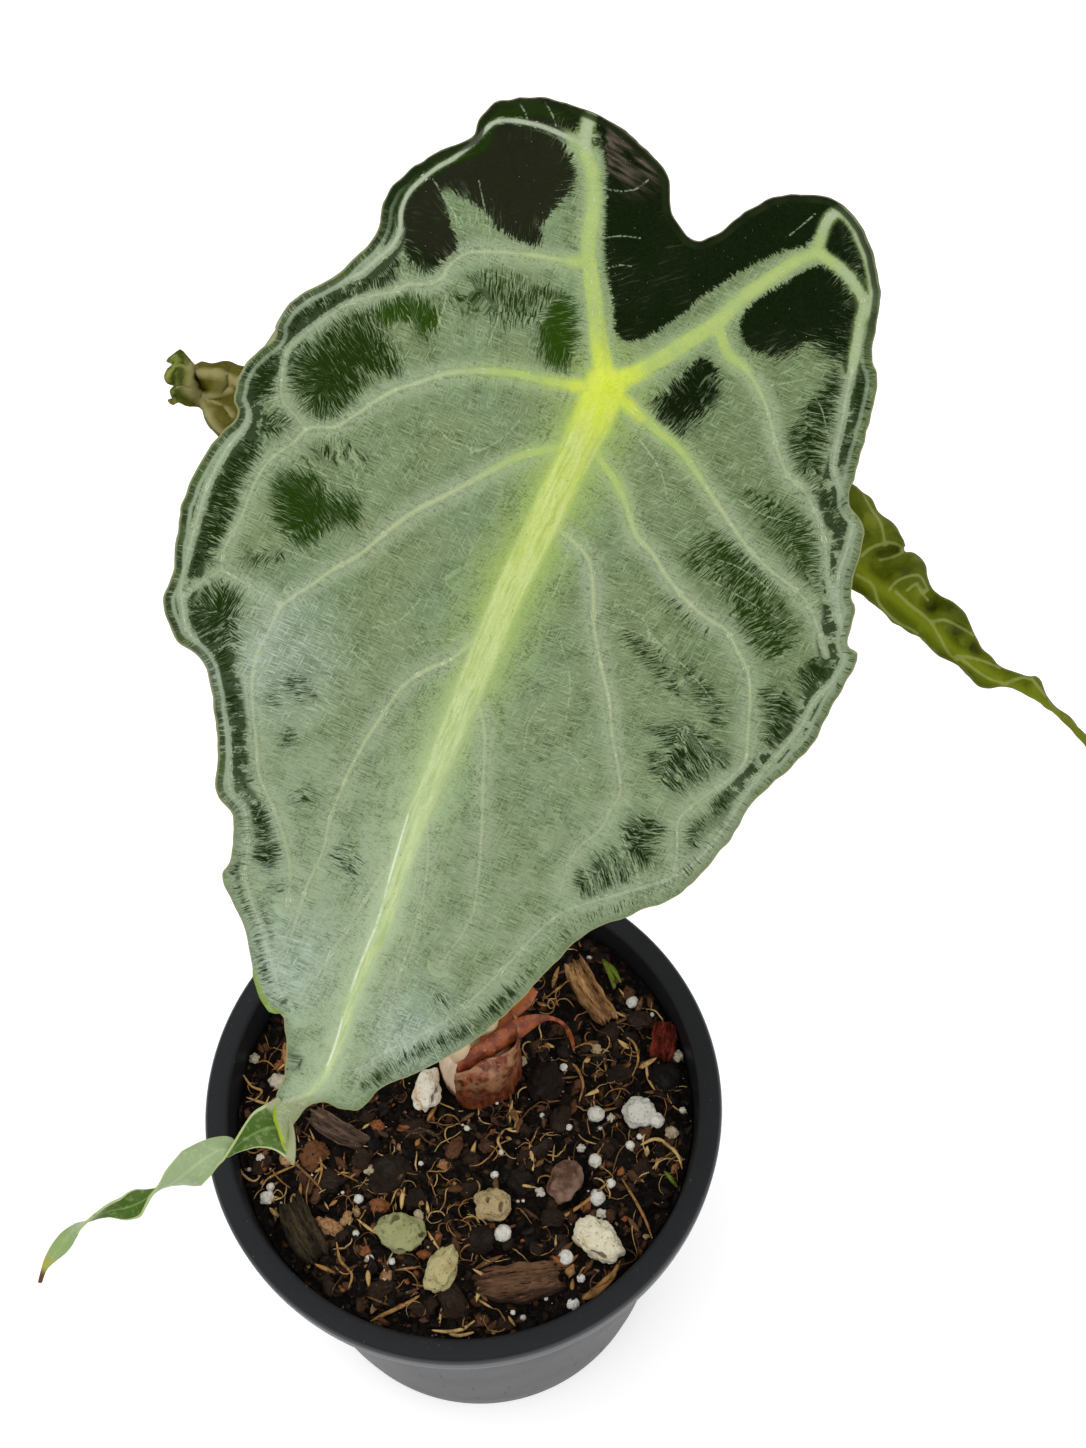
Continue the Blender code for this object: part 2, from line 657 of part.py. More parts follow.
def make_litter(home, cutters, crumbs, finishes):
    """The stones and bark chips half sunk in the soil, with a cutter for each one's pocket."""
    for number, (name, spot, length, width, height, turn) in enumerate(STONES):
        flat = on_level(*spot, SOIL_TOP)
        top = soil_height(flat.x, flat.y, crumbs)
        middle = Vector((flat.x, flat.y, min(top, SOIL_TOP + 1.5 * MM) + 0.12 * height * MM))
        size = (length * MM, width * MM, height * MM)
        angle = math.radians(turn)
        finish = finishes["pebble" if name == "pebble" else "pumice"]
        add(name, lump(size, angle, middle, number + 1, 0.30), home, finish)
        add(f"{name}_pocket", lump(size, angle, middle, number + 1, 0.30, grow=GAP * 1.3), cutters)
    for number, (name, spot, length, width, height, turn) in enumerate(CHIPS):
        flat = on_level(*spot, SOIL_TOP)
        middle = Vector((flat.x, flat.y, SOIL_TOP + 0.8 * MM))
        size = (length * MM, width * MM, height * MM)
        angle = math.radians(turn)
        add(name, chip(size, angle, middle, number + 0.5), home, finishes["bark"])
        add(f"{name}_pocket", chip(size, angle, middle, number + 0.5, grow=GAP * 1.6), cutters)


def turned(name, centre, profile, sides, home, finish=None):
    """A solid turned about a vertical line through centre, from (radius, height) pairs, bottom to top."""
    shape = bmesh.new()
    rings = []
    for radius, z in profile:
        angles = (2 * math.pi * i / sides for i in range(sides))
        rings.append([
            shape.verts.new((centre.x + radius * math.cos(a), centre.y + radius * math.sin(a), z))
            for a in angles
        ])
    for low, high in zip(rings, rings[1:]):
        for i in range(sides):
            k = (i + 1) % sides
            shape.faces.new([low[i], low[k], high[k], high[i]])
    shape.faces.new(rings[0])
    shape.faces.new(rings[-1])
    return add(name, mesh_of(shape, name), home, finish)


def corm_profile(grow=0.0):
    """The corm's outline, from its foot in the soil to its blunt top."""
    height = CORM_TOP - CORM_FOOT
    steps = ((0, 0.55), (0.12, 0.85), (0.35, 1.0), (0.6, 1.0), (0.8, 0.95), (0.93, 0.88), (1, 0.8))
    return [(CORM_RADIUS * r + grow, CORM_FOOT + height * t) for t, r in steps]


def tube(name, path, radii, home, finish, sides=8):
    """A tapered round stalk along a smooth path, as a closed mesh."""
    line = smooth_line(path, 9 * MM)
    curve = bpy.data.curves.new(name, "CURVE")
    curve.dimensions = "3D"
    curve.bevel_depth = 1
    curve.bevel_resolution = sides // 4
    curve.use_fill_caps = True
    spline = curve.splines.new("POLY")
    spline.points.add(len(line) - 1)
    for i, point in enumerate(line):
        t = i / (len(line) - 1)
        spline.points[i].co = (*point, 1)
        spline.points[i].radius = radii[0] + (radii[1] - radii[0]) * t
    guide = bpy.data.objects.new(name, curve)
    home.objects.link(guide)
    bpy.context.view_layer.update()
    graph = bpy.context.evaluated_depsgraph_get()
    mesh = bpy.data.meshes.new_from_object(guide.evaluated_get(graph))
    bpy.data.objects.remove(guide)
    shape = bmesh.new()
    shape.from_mesh(mesh)
    bmesh.ops.remove_doubles(shape, verts=shape.verts, dist=0.00001)
    stalk = add(name, mesh_of(shape, name), home)
    stalk.data.materials.clear()
    if finish:
        stalk.data.materials.append(finish)
    return stalk


def make_stalk(name, blade, route, turn, corm, home, sockets, finish, to_eye=False):
    """A leaf stalk from its socket in the corm to the underside of its blade's joint."""
    foot = corm + Vector((math.cos(turn), math.sin(turn), 0)) * STALK_RING
    foot.z = CORM_TOP - STALK_SOCKET + GAP
    out = blade.normal(*blade.joint) * (1 if to_eye else -1)
    joint = blade.point(*blade.joint)
    stand = blade.thickness(*blade.joint) + 0.45 * MM
    path = [foot, foot + Vector((0, 0, 8 * MM))]
    path += [Vector((corm.x, corm.y, SOIL_TOP)) + Vector(p) * MM for p in route]
    path += [joint + out * (stand + 9 * MM), joint + out * stand]
    top_radius = STALK_BASE_RADIUS * 0.72
    tube(name, path, (STALK_BASE_RADIUS, top_radius), home, finish)
    hole = STALK_BASE_RADIUS + GAP
    turned(
        f"{name}_socket", foot,
        ((hole, foot.z - GAP), (hole, CORM_TOP + 3 * MM)), 16, sockets,
    )


def make_tail(folder):
    """The twisted tail on the main leaf's tip: a hollowed ribbon that turns over three times."""
    stations = smooth_line(TAIL, 11)
    centres = [seen(x, y, depth * MM) for x, y, depth, _, _ in stations]
    shape = bmesh.new()
    rows = []
    for i, (_, _, _, half, turn) in enumerate(stations):
        along = (centres[min(i + 1, len(centres) - 1)] - centres[max(i - 1, 0)]).normalized()
        side = along.cross(FORWARD).normalized()
        back = side.cross(along).normalized()
        turn = math.radians(turn)
        reach = side * math.cos(turn) + back * math.sin(turn)
        hollow = back * math.cos(turn) - side * math.sin(turn)
        row = []
        for j in range(TAIL_COLUMNS + 1):
            v = j / TAIL_COLUMNS * 2 - 1
            offset = reach * v + hollow * TAIL_HOLLOW * (1 - v * v)
            row.append(shape.verts.new(centres[i] + offset * half * MM))
        rows.append(row)
    for low, high in zip(rows, rows[1:]):
        for j in range(TAIL_COLUMNS):
            shape.faces.new([low[j], low[j + 1], high[j + 1], high[j]])
    bmesh.ops.triangulate(shape, faces=shape.faces)
    tail = add("tail", mesh_of(shape, "tail"), folder)
    skin = tail.modifiers.new("thickness", "SOLIDIFY")
    skin.thickness = 0.8 * MM
    skin.offset = 0
    frozen(tail)
    return tail


def sheath_point(corm, across, rise):
    """A point of the dry sheath: across runs round the corm from its front, rise from its foot to its lip."""
    angle = math.radians(SHEATH_START + (SHEATH_END - SHEATH_START) * across)
    height = SHEATH_LOW + (SHEATH_HIGH - SHEATH_LOW) * across
    hood = SHEATH_HOOD * math.sin(math.pi * min(1, across * 1.7)) * max(0, rise - 0.86) / 0.14
    crinkle = 0.4 * MM * math.sin(11 * across + 3 * rise)
    radius = CORM_RADIUS + 1.1 * MM + abs(crinkle) - hood
    over = max(CORM_TOP + 1.6 * MM - SOIL_TOP, height)
    centre = Vector((corm.x, corm.y, SOIL_TOP + 1.5 * MM + (over - 1.5 * MM) * rise))
    return centre + Vector((math.cos(angle), math.sin(angle), 0)) * radius


def make_sheath(corm, home, finish):
    """The dry red-brown leaf base that wraps the front and right of the corm, and its curled arm."""
    shape = bmesh.new()
    columns = 14
    rows = 8
    grid = []
    for i in range(columns + 1):
        grid.append([shape.verts.new(sheath_point(corm, i / columns, j / rows)) for j in range(rows + 1)])
    for a, b in zip(grid, grid[1:]):
        for j in range(rows):
            shape.faces.new([a[j], b[j], b[j + 1], a[j + 1]])
    bmesh.ops.triangulate(shape, faces=shape.faces)
    sheath = add("dry_sheath", mesh_of(shape, "dry_sheath"), home, finish)
    skin = sheath.modifiers.new("thickness", "SOLIDIFY")
    skin.thickness = 0.8 * MM
    skin.offset = 0
    frozen(sheath)
    arm = collection("sheath_arm")
    path = [on_level(x, y, SOIL_TOP + height * MM) for x, y, height in SHEATH_ARM]
    tube("arm", path, (1.3 * MM, 0.5 * MM), arm, None)
    cut(sheath, arm, "UNION", "MANIFOLD")
    clear(arm)
    return sheath


def main():
    for part in list(bpy.data.objects):
        bpy.data.objects.remove(part)
    home = collection("potted_alocasia")
    drains = collection("drain_cutters")
    pockets = collection("soil_cutters")
    sockets = collection("corm_cutters")

    make_pot(home, drains, material("pot_plastic", (0.045, 0.047, 0.050), 0.5))
    soil, crumbs = make_soil(home, material("bark_mix", (0.030, 0.016, 0.009), 0.9))
    finishes = {
        "pumice": material("pumice", (0.62, 0.56, 0.44), 0.85),
        "pebble": material("pebble", (0.22, 0.14, 0.11), 0.7),
        "bark": material("bark", (0.16, 0.075, 0.03), 0.85),
    }
    make_litter(home, pockets, crumbs, finishes)

    corm = on_level(*CORM_SPOT, SOIL_TOP)
    corm.z = 0
    turned("corm_pocket", corm, corm_profile(GAP), 24, pockets)
    cut(soil, pockets)
    body = turned("corm", corm, corm_profile(), 24, home, material("corm_skin", (0.62, 0.38, 0.25), 0.5))

    green = material("leaf_green", (0.16, 0.27, 0.12), 0.35)
    stalk = material("stalk_green", (0.30, 0.36, 0.12), 0.4)
    main_blade = MainBlade(MAIN_JOINT, MAIN_DEPTH, MAIN_EDGE, MAIN_MIDRIB, MAIN_RIBS, 4.6 * MM)
    leaf = main_blade.solid("main_leaf", home, green)
    tail = collection("tail")
    make_tail(tail)
    cut(leaf, tail, "UNION", "MANIFOLD")
    clear(tail)
    left = LeftBlade(LEFT_JOINT, LEFT_DEPTH, LEFT_EDGE, LEFT_MIDRIB, LEFT_RIBS, 4.2 * MM)
    left.solid("left_leaf", home, material("leaf_olive", (0.17, 0.14, 0.05), 0.45), thicken_to_eye=True)
    right = RightBlade(RIGHT_JOINT, RIGHT_DEPTH, RIGHT_EDGE, RIGHT_MIDRIB, RIGHT_RIBS, 3.6 * MM)
    right.solid("right_leaf", home, material("leaf_bright", (0.14, 0.18, 0.02), 0.4))

    make_stalk("main_petiole", main_blade, MAIN_STALK, 2.27, corm, home, sockets, stalk)
    make_stalk("left_petiole", left, LEFT_STALK, 3.76, corm, home, sockets, stalk, to_eye=True)
    make_stalk("right_petiole", right, RIGHT_STALK, 0.78, corm, home, sockets, stalk)
    cut(body, sockets)
    make_sheath(corm, home, material("dry_sheath", (0.28, 0.07, 0.02), 0.6))

    for folder in (drains, pockets, sockets):
        for cutter in folder.objects:
            cutter.hide_render = True
            cutter.display_type = "WIRE"


main()
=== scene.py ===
"""A potted alocasia in a plastic pot: visual pieces over the solid model, laid out as an add-on.

Metres, +Z up. The leaves are drawn on a sheet as they look from EYE, and each drawn point is pushed back
along its line of sight by a depth formula, as in the solid model, with finer relief.
"""

import json
import math
import random

import bmesh
import bpy
from bpy.props import FloatProperty, FloatVectorProperty, IntProperty, PointerProperty
from mathutils import Euler, Matrix, Vector, noise
from mathutils.geometry import delaunay_2d_cdt
from mathutils.kdtree import KDTree

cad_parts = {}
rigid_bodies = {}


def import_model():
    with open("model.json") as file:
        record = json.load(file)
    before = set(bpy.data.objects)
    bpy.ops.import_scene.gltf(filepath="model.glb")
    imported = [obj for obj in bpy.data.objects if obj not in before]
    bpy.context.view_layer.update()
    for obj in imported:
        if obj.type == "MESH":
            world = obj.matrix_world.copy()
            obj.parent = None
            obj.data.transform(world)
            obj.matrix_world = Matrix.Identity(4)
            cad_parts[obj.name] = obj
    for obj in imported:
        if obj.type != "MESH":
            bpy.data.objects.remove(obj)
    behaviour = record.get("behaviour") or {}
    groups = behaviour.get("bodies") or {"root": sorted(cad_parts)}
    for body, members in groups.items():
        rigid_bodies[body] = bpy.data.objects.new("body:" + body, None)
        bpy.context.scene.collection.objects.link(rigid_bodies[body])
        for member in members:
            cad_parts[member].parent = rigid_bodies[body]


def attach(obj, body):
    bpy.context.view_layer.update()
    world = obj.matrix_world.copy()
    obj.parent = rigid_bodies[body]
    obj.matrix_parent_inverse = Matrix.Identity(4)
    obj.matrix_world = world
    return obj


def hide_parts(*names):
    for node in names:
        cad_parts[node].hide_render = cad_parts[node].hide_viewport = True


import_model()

bl_info = {
    "name": "Potted alocasia",
    "version": (1, 0, 0),
    "blender": (4, 5, 0),
    "location": "3D View > Sidebar > Alocasia",
    "description": "Builds a potted alocasia: pot, bark mix, corm, stalks and three leaves",
    "category": "Add Mesh",
}

MM = 0.001

# The viewing point that the sheet is drawn from, and the sheet's own frame
EYE = Vector((20.9, -152.6, 561.5)) * MM
PITCH = math.radians(60.6)
ROLL = math.radians(-1.6)
SHEET_CENTRE = (543, 724)
SHEET_DISTANCE = 2000
SHEET_HEIGHT = 1448
FORWARD = Vector((0, math.cos(PITCH), -math.sin(PITCH)))
LEVEL_UP = Vector((0, math.sin(PITCH), math.cos(PITCH)))
RIGHT = math.cos(ROLL) * Vector((1, 0, 0)) + math.sin(ROLL) * LEVEL_UP
UP = -math.sin(ROLL) * Vector((1, 0, 0)) + math.cos(ROLL) * LEVEL_UP

# Pot and soil
POT_HEIGHT = 115 * MM
POT_BASE_RADIUS = 47 * MM
RIM_RADIUS = 60 * MM
RIM_WIDTH = 5.5 * MM
RIM_DROP = 7 * MM
WALL = 1.5 * MM
FLOOR = 2 * MM
DRAIN_RADIUS = 4 * MM
DRAIN_CIRCLE = 31 * MM
DRAINS = 6
SOIL_TOP = POT_HEIGHT - 9 * MM

# Corm, stalks and sheath
CORM_SPOT = (478, 1066)
CORM_RADIUS = 8.8 * MM
CORM_TOP = SOIL_TOP + 17 * MM
CORM_FOOT = SOIL_TOP - 14 * MM
STALK_BASE_RADIUS = 2.6 * MM
STALK_SOCKET = 4 * MM
STALK_RING = 4.3 * MM
SHEATH_START = -118
SHEATH_END = 52
SHEATH_LOW = 13 * MM
SHEATH_HIGH = 22 * MM
SHEATH_HOOD = 3.6 * MM
SHEATH_ARM = (
    (464, 1082, 13.0, 1.0), (464, 1072, 16.0, 1.9), (470, 1061, 18.6, 2.3), (482, 1052, 19.4, 2.4),
    (496, 1043, 19.8, 2.4), (510, 1033, 20, 2.4),
    (524, 1025, 20.5, 2.3), (536, 1020, 20.8, 1.6), (547, 1018, 20.6, 0.7), (559, 1021, 18, 0.45),
    (568, 1030, 14, 0.5), (572, 1040, 10, 0.55), (574, 1050, 8, 0.3),
)
# A second tongue of the sheath, behind the arm
SHEATH_TONGUE = (
    (484, 1044, 18.6, 1.5), (498, 1028, 19.4, 1.9), (512, 1012, 20.4, 2.0), (525, 999, 21.4, 1.9),
    (533, 988, 22.2, 1.4),
)

# Main leaf
MAIN_JOINT = (605, 387)
MAIN_DEPTH = 330 * MM
MAIN_LEAN = math.radians(23.8)
MAIN_EDGE = (
    (545, 98), (500, 101), (480, 118), (471, 138), (440, 151), (400, 178), (383, 203), (375, 236),
    (334, 276), (297, 296), (276, 322), (274, 338), (245, 364), (234, 396), (237, 416), (211, 445),
    (188, 486), (179, 519), (174, 567), (164, 600), (175, 637), (205, 666), (217, 735), (217, 792),
    (232, 815), (231, 857), (222, 880), (245, 928), (255, 985), (269, 1011), (283, 1018), (286, 1065),
    (276, 1099), (274, 1120), (289, 1158), (291, 1130), (303, 1112), (320, 1103), (358, 1110),
    (383, 1087), (425, 1069), (475, 1040), (522, 998), (580, 938), (632, 915), (682, 892), (730, 839),
    (753, 803), (809, 749), (826, 717), (858, 660), (848, 645), (855, 610), (851, 590), (864, 530),
    (849, 500), (858, 465), (873, 410), (877, 378), (872, 350), (881, 295), (868, 240), (840, 203),
    (800, 194), (760, 203), (715, 234), (694, 240), (673, 215), (668, 176), (643, 146), (605, 118),
)
MAIN_MIDRIB = (
    (605, 387), (590, 425), (570, 465), (535, 540), (515, 580), (490, 640), (465, 700), (440, 760),
    (420, 810), (400, 870), (385, 920), (368, 960), (352, 1000), (340, 1040), (325, 1075), (308, 1095),
)
VEIN_SHARE = 0.68
# Veins of the main leaf: half width at the start and at the end in mm, then sheet points
MAIN_VEINS = (
    (1.5, 0.7, (605, 375), (600, 350), (596, 313), (591, 276), (588, 246), (594, 203), (592, 172),
     (585, 146), (589, 118)),
    (0.7, 0.45, (585, 146), (563, 135), (541, 126), (517, 121), (498, 121), (487, 128), (475, 141),
     (454, 158), (438, 167), (420, 181), (408, 194), (401, 212), (400, 230), (392, 246), (377, 259),
     (362, 272), (345, 280), (312, 295), (283, 318), (268, 345), (255, 352), (243, 370), (240, 395),
     (247, 420), (226, 450), (210, 480), (200, 510), (190, 545), (181, 585), (183, 610), (188, 630),
     (212, 670), (219, 700), (227, 740), (230, 790), (245, 812), (247, 850), (245, 880), (260, 925),
     (272, 965), (283, 1000)),
    (0.6, 0.3, (588, 264), (556, 259), (532, 255), (501, 252), (471, 252), (458, 258), (446, 270),
     (444, 277), (426, 284), (408, 284), (392, 292), (371, 296), (346, 305), (322, 321), (303, 335),
     (288, 350), (282, 374), (282, 399), (291, 411), (305, 428)),
    (0.95, 0.35, (590, 388), (547, 381), (517, 374), (487, 371), (469, 371), (444, 374), (420, 382),
     (395, 390), (374, 402), (352, 417), (334, 427), (309, 428), (294, 442), (273, 457), (260, 473),
     (251, 491), (242, 516), (232, 534), (224, 550), (222, 570)),
    (0.35, 0.25, (222, 570), (240, 580), (260, 592), (275, 600)),
    (0.35, 0.25, (222, 570), (205, 580), (190, 590), (183, 600)),
    (0.95, 0.35, (568, 447), (540, 451), (520, 456), (492, 470), (452, 492), (420, 508), (395, 525),
     (377, 540), (359, 555), (332, 570), (313, 584), (294, 596), (280, 608), (268, 632), (256, 656),
     (252, 682), (253, 711), (256, 740), (259, 774), (272, 805), (284, 838), (290, 870), (288, 905)),
    (0.8, 0.3, (488, 628), (475, 640), (450, 660), (426, 670), (402, 687), (385, 711), (366, 740),
     (349, 771), (340, 793), (330, 817), (323, 850), (306, 888), (300, 908), (290, 940)),
    (0.5, 0.25, (408, 846), (385, 870), (362, 905), (340, 940), (318, 975), (303, 1010)),
    (1.5, 0.6, (610, 384), (620, 380), (650, 366), (690, 340), (718, 322), (740, 300), (770, 278),
     (795, 262), (817, 252)),
    (0.5, 0.3, (817, 252), (822, 235), (828, 220), (840, 212), (852, 222), (862, 243), (870, 265),
     (874, 295), (868, 312)),
    (0.5, 0.35, (817, 252), (840, 268), (855, 285), (864, 304), (860, 322), (857, 344), (852, 371),
     (846, 399), (842, 423), (836, 448), (834, 470), (842, 492), (853, 515), (848, 545), (838, 580),
     (841, 620), (845, 655), (834, 680), (815, 700), (800, 728), (780, 752), (750, 788), (735, 812),
     (715, 840), (695, 862), (672, 878), (620, 894), (568, 910), (540, 930), (508, 964), (465, 1006),
     (430, 1030), (380, 1055), (350, 1078)),
    (0.6, 0.3, (718, 325), (728, 353), (747, 371), (762, 396), (771, 423), (777, 448), (788, 476),
     (802, 488), (817, 516), (825, 545), (828, 580), (838, 620)),
    (0.95, 0.35, (616, 393), (622, 400), (650, 425), (680, 450), (700, 478), (718, 505), (735, 530),
     (750, 550), (770, 570), (790, 585), (805, 600), (815, 620), (826, 655)),
    (0.85, 0.3, (594, 440), (597, 455), (614, 479), (626, 505), (636, 535), (652, 553), (668, 578),
     (690, 604), (710, 620), (726, 630), (738, 652), (748, 673), (750, 703), (748, 732), (745, 761),
     (728, 780), (708, 794), (690, 808), (678, 822), (677, 853), (672, 878)),
    (0.75, 0.3, (550, 512), (560, 530), (572, 540), (588, 559), (593, 588), (594, 626), (601, 665),
     (609, 700), (612, 735), (618, 767), (620, 793), (609, 812), (600, 830), (575, 852), (560, 890)),
    (0.55, 0.25, (472, 690), (480, 710), (485, 739), (483, 783), (482, 825), (478, 879), (470, 920),
     (440, 965)),
    (0.4, 0.2, (420, 812), (428, 840), (426, 880), (415, 930), (396, 985), (384, 1040)),
)
# Dark windows of the main leaf: how much silver veils each, how vivid its green is, then sheet points
MAIN_WINDOWS = (
    (0.1, 0, (489, 114), (520, 101), (548, 102), (570, 108), (582, 116), (578, 131), (540, 121),
     (518, 117), (491, 122)),
    (0.05, 0, (492, 130), (520, 124), (544, 130), (560, 141), (574, 169), (571, 189), (544, 220),
     (536, 245), (498, 228), (487, 212), (438, 177), (465, 151)),
    (0.1, 0, (435, 179), (412, 197), (402, 240), (421, 272), (449, 256), (455, 240), (445, 212)),
    (0.1, 0, (463, 147), (415, 173), (390, 203), (382, 236), (392, 244), (400, 209), (421, 175),
     (459, 153)),
    (0.1, 0, (396, 262), (370, 277), (340, 291), (312, 303), (290, 318), (280, 338), (290, 338),
     (306, 322), (330, 307), (356, 297), (384, 286), (394, 276)),
    (0.3, 0.5, (289, 356), (321, 333), (355, 313), (373, 313), (399, 361), (392, 375), (373, 377),
     (348, 407), (330, 418), (311, 414), (289, 379)),
    (0.2, 1, (374, 307), (409, 295), (439, 309), (427, 339), (407, 323), (382, 325)),
    (0, 1, (560, 295), (572, 305), (575, 327), (574, 355), (564, 369), (548, 365), (538, 347),
     (540, 323)),
    (0.6, 0.5, (449, 295), (481, 274), (508, 274), (556, 290), (548, 307), (540, 323), (512, 327),
     (481, 313), (465, 319)),
    (0.05, 0, (601, 128), (607, 170), (606, 254), (614, 301), (617, 330), (633, 341), (672, 321),
     (703, 295), (742, 269), (779, 251), (809, 242), (825, 212), (818, 197), (772, 203), (727, 227),
     (700, 241), (677, 228), (668, 190), (655, 165), (622, 135)),
    (0.1, 0, (831, 212), (823, 245), (854, 277), (870, 306), (874, 280), (857, 243), (841, 217)),
    (0.05, 0, (742, 321), (757, 301), (785, 284), (820, 267), (848, 286), (862, 319), (859, 332),
     (850, 360), (837, 362), (807, 345), (781, 358), (750, 347)),
    (0, 0, (703, 358), (718, 377), (711, 384), (720, 397), (681, 434), (670, 429), (653, 405),
     (677, 382)),
    (0.45, 0.2, (835, 366), (841, 382), (835, 423), (820, 477), (807, 479), (796, 468), (789, 436),
     (811, 397)),
    (0.1, 0, (859, 332), (867, 345), (866, 388), (860, 416), (850, 410), (856, 366)),
    (0.1, 0, (846, 438), (858, 447), (850, 460), (835, 475), (839, 457)),
    (0, 0.3, (252, 375), (268, 354), (282, 352), (284, 361), (275, 379), (268, 395), (250, 402)),
    (0.1, 0, (238, 434), (247, 428), (250, 416), (245, 407)),
    (0.5, 0, (259, 418), (270, 411), (286, 416), (289, 425), (275, 437), (261, 437)),
    (0.15, 0.3, (238, 444), (254, 437), (259, 450), (240, 485), (236, 508), (215, 551), (187, 584),
     (183, 577), (194, 535), (213, 485)),
    (0.2, 0.7, (275, 480), (307, 473), (334, 492), (355, 496), (360, 524), (339, 524), (316, 540),
     (298, 545), (275, 519)),
    (0.6, 0, (302, 455), (321, 444), (337, 441), (367, 455), (364, 462), (334, 460)),
    (0.7, 0, (240, 554), (279, 547), (291, 558), (259, 568)),
    (0.3, 0.4, (186, 606), (205, 589), (218, 583), (239, 593), (237, 637), (233, 656), (232, 675),
     (222, 681), (212, 660), (195, 640), (188, 619)),
    (0.1, 0, (222, 694), (232, 684), (239, 696), (241, 713), (228, 721), (224, 708)),
    (0.1, 0, (230, 736), (237, 730), (243, 738), (239, 748)),
    (0.3, 0, (235, 755), (245, 753), (245, 761), (237, 765)),
    (0.3, 0, (237, 788), (249, 776), (249, 788), (243, 795)),
    (0.1, 0, (247, 809), (260, 803), (266, 813), (270, 837), (259, 839), (249, 818)),
    (0.2, 0, (253, 856), (263, 843), (276, 845), (278, 856), (270, 868)),
    (0.6, 0, (279, 686), (293, 671), (316, 692), (306, 702)),
    (0.5, 0, (264, 702), (274, 692), (279, 702), (272, 705)),
    (0.55, 0, (279, 738), (289, 730), (295, 742), (285, 746)),
    (0.55, 0, (293, 799), (308, 788), (314, 797), (306, 803)),
    (0.5, 0.6, (745, 493), (763, 495), (793, 506), (817, 539), (819, 584), (802, 582), (774, 541)),
    (0.5, 0.6, (713, 532), (752, 556), (778, 595), (797, 630), (784, 656), (763, 658), (741, 630),
     (713, 584), (682, 560)),
    (0.45, 0.2, (622, 636), (635, 632), (661, 660), (682, 693), (674, 693), (643, 662)),
    (0.55, 0.2, (676, 660), (687, 658), (727, 705), (731, 717), (720, 731), (697, 700)),
    (0.75, 0, (659, 600), (672, 600), (708, 630), (713, 643), (680, 619)),
    (0.3, 0, (813, 495), (828, 491), (841, 502), (841, 511), (830, 515)),
    (0.4, 0, (830, 517), (845, 526), (845, 532), (836, 528)),
    (0.3, 0, (836, 539), (843, 539), (841, 550)),
    (0.1, 0, (834, 567), (843, 563), (844, 578), (839, 580)),
    (0.3, 0, (832, 587), (841, 587), (843, 602), (836, 602)),
    (0.5, 0, (819, 604), (830, 615), (830, 628), (823, 621)),
    (0.1, 0.4, (797, 678), (806, 665), (819, 660), (836, 669), (817, 688), (808, 697)),
    (0.3, 0.3, (760, 694), (772, 689), (794, 700), (791, 737), (766, 746), (766, 721)),
    (0.6, 0.1, (649, 723), (693, 725), (731, 759), (708, 775), (682, 792), (662, 786), (645, 756),
     (659, 746)),
    (0.05, 0.3, (693, 744), (703, 744), (708, 754), (703, 758)),
    (0.3, 0, (670, 731), (682, 731), (685, 750), (678, 754)),
    (0.35, 0.3, (712, 802), (722, 790), (733, 792), (735, 800), (714, 819)),
    (0.5, 0, (741, 777), (747, 765), (758, 763), (760, 769), (743, 784)),
    (0.3, 0.2, (689, 844), (691, 828), (703, 819), (703, 825), (693, 847)),
    (0.35, 0.2, (622, 844), (632, 819), (664, 828), (655, 844), (649, 863), (639, 867)),
    (0.15, 0.2, (611, 855), (618, 853), (628, 880), (618, 878)),
    (0.1, 0.2, (592, 867), (599, 857), (611, 882), (603, 888)),
    (0.3, 0.2, (576, 878), (582, 872), (594, 897), (584, 895)),
    (0.25, 0.1, (234, 868), (242, 862), (247, 889), (266, 921), (268, 967), (263, 976), (259, 938),
     (240, 892)),
    (0.35, 0, (358, 1089), (404, 1054), (466, 1024), (510, 988), (515, 995), (470, 1033), (415, 1058),
     (362, 1092)),
    (0.6, 0, (436, 993), (451, 993), (449, 1007), (438, 1005)),
    (0.6, 0, (270, 885), (291, 885), (291, 892), (272, 892)),
    (0.7, 0, (333, 847), (356, 850), (360, 881), (338, 872)),
    (0.4, 0, (286, 1050), (300, 1050), (303, 1065), (290, 1066)),
)
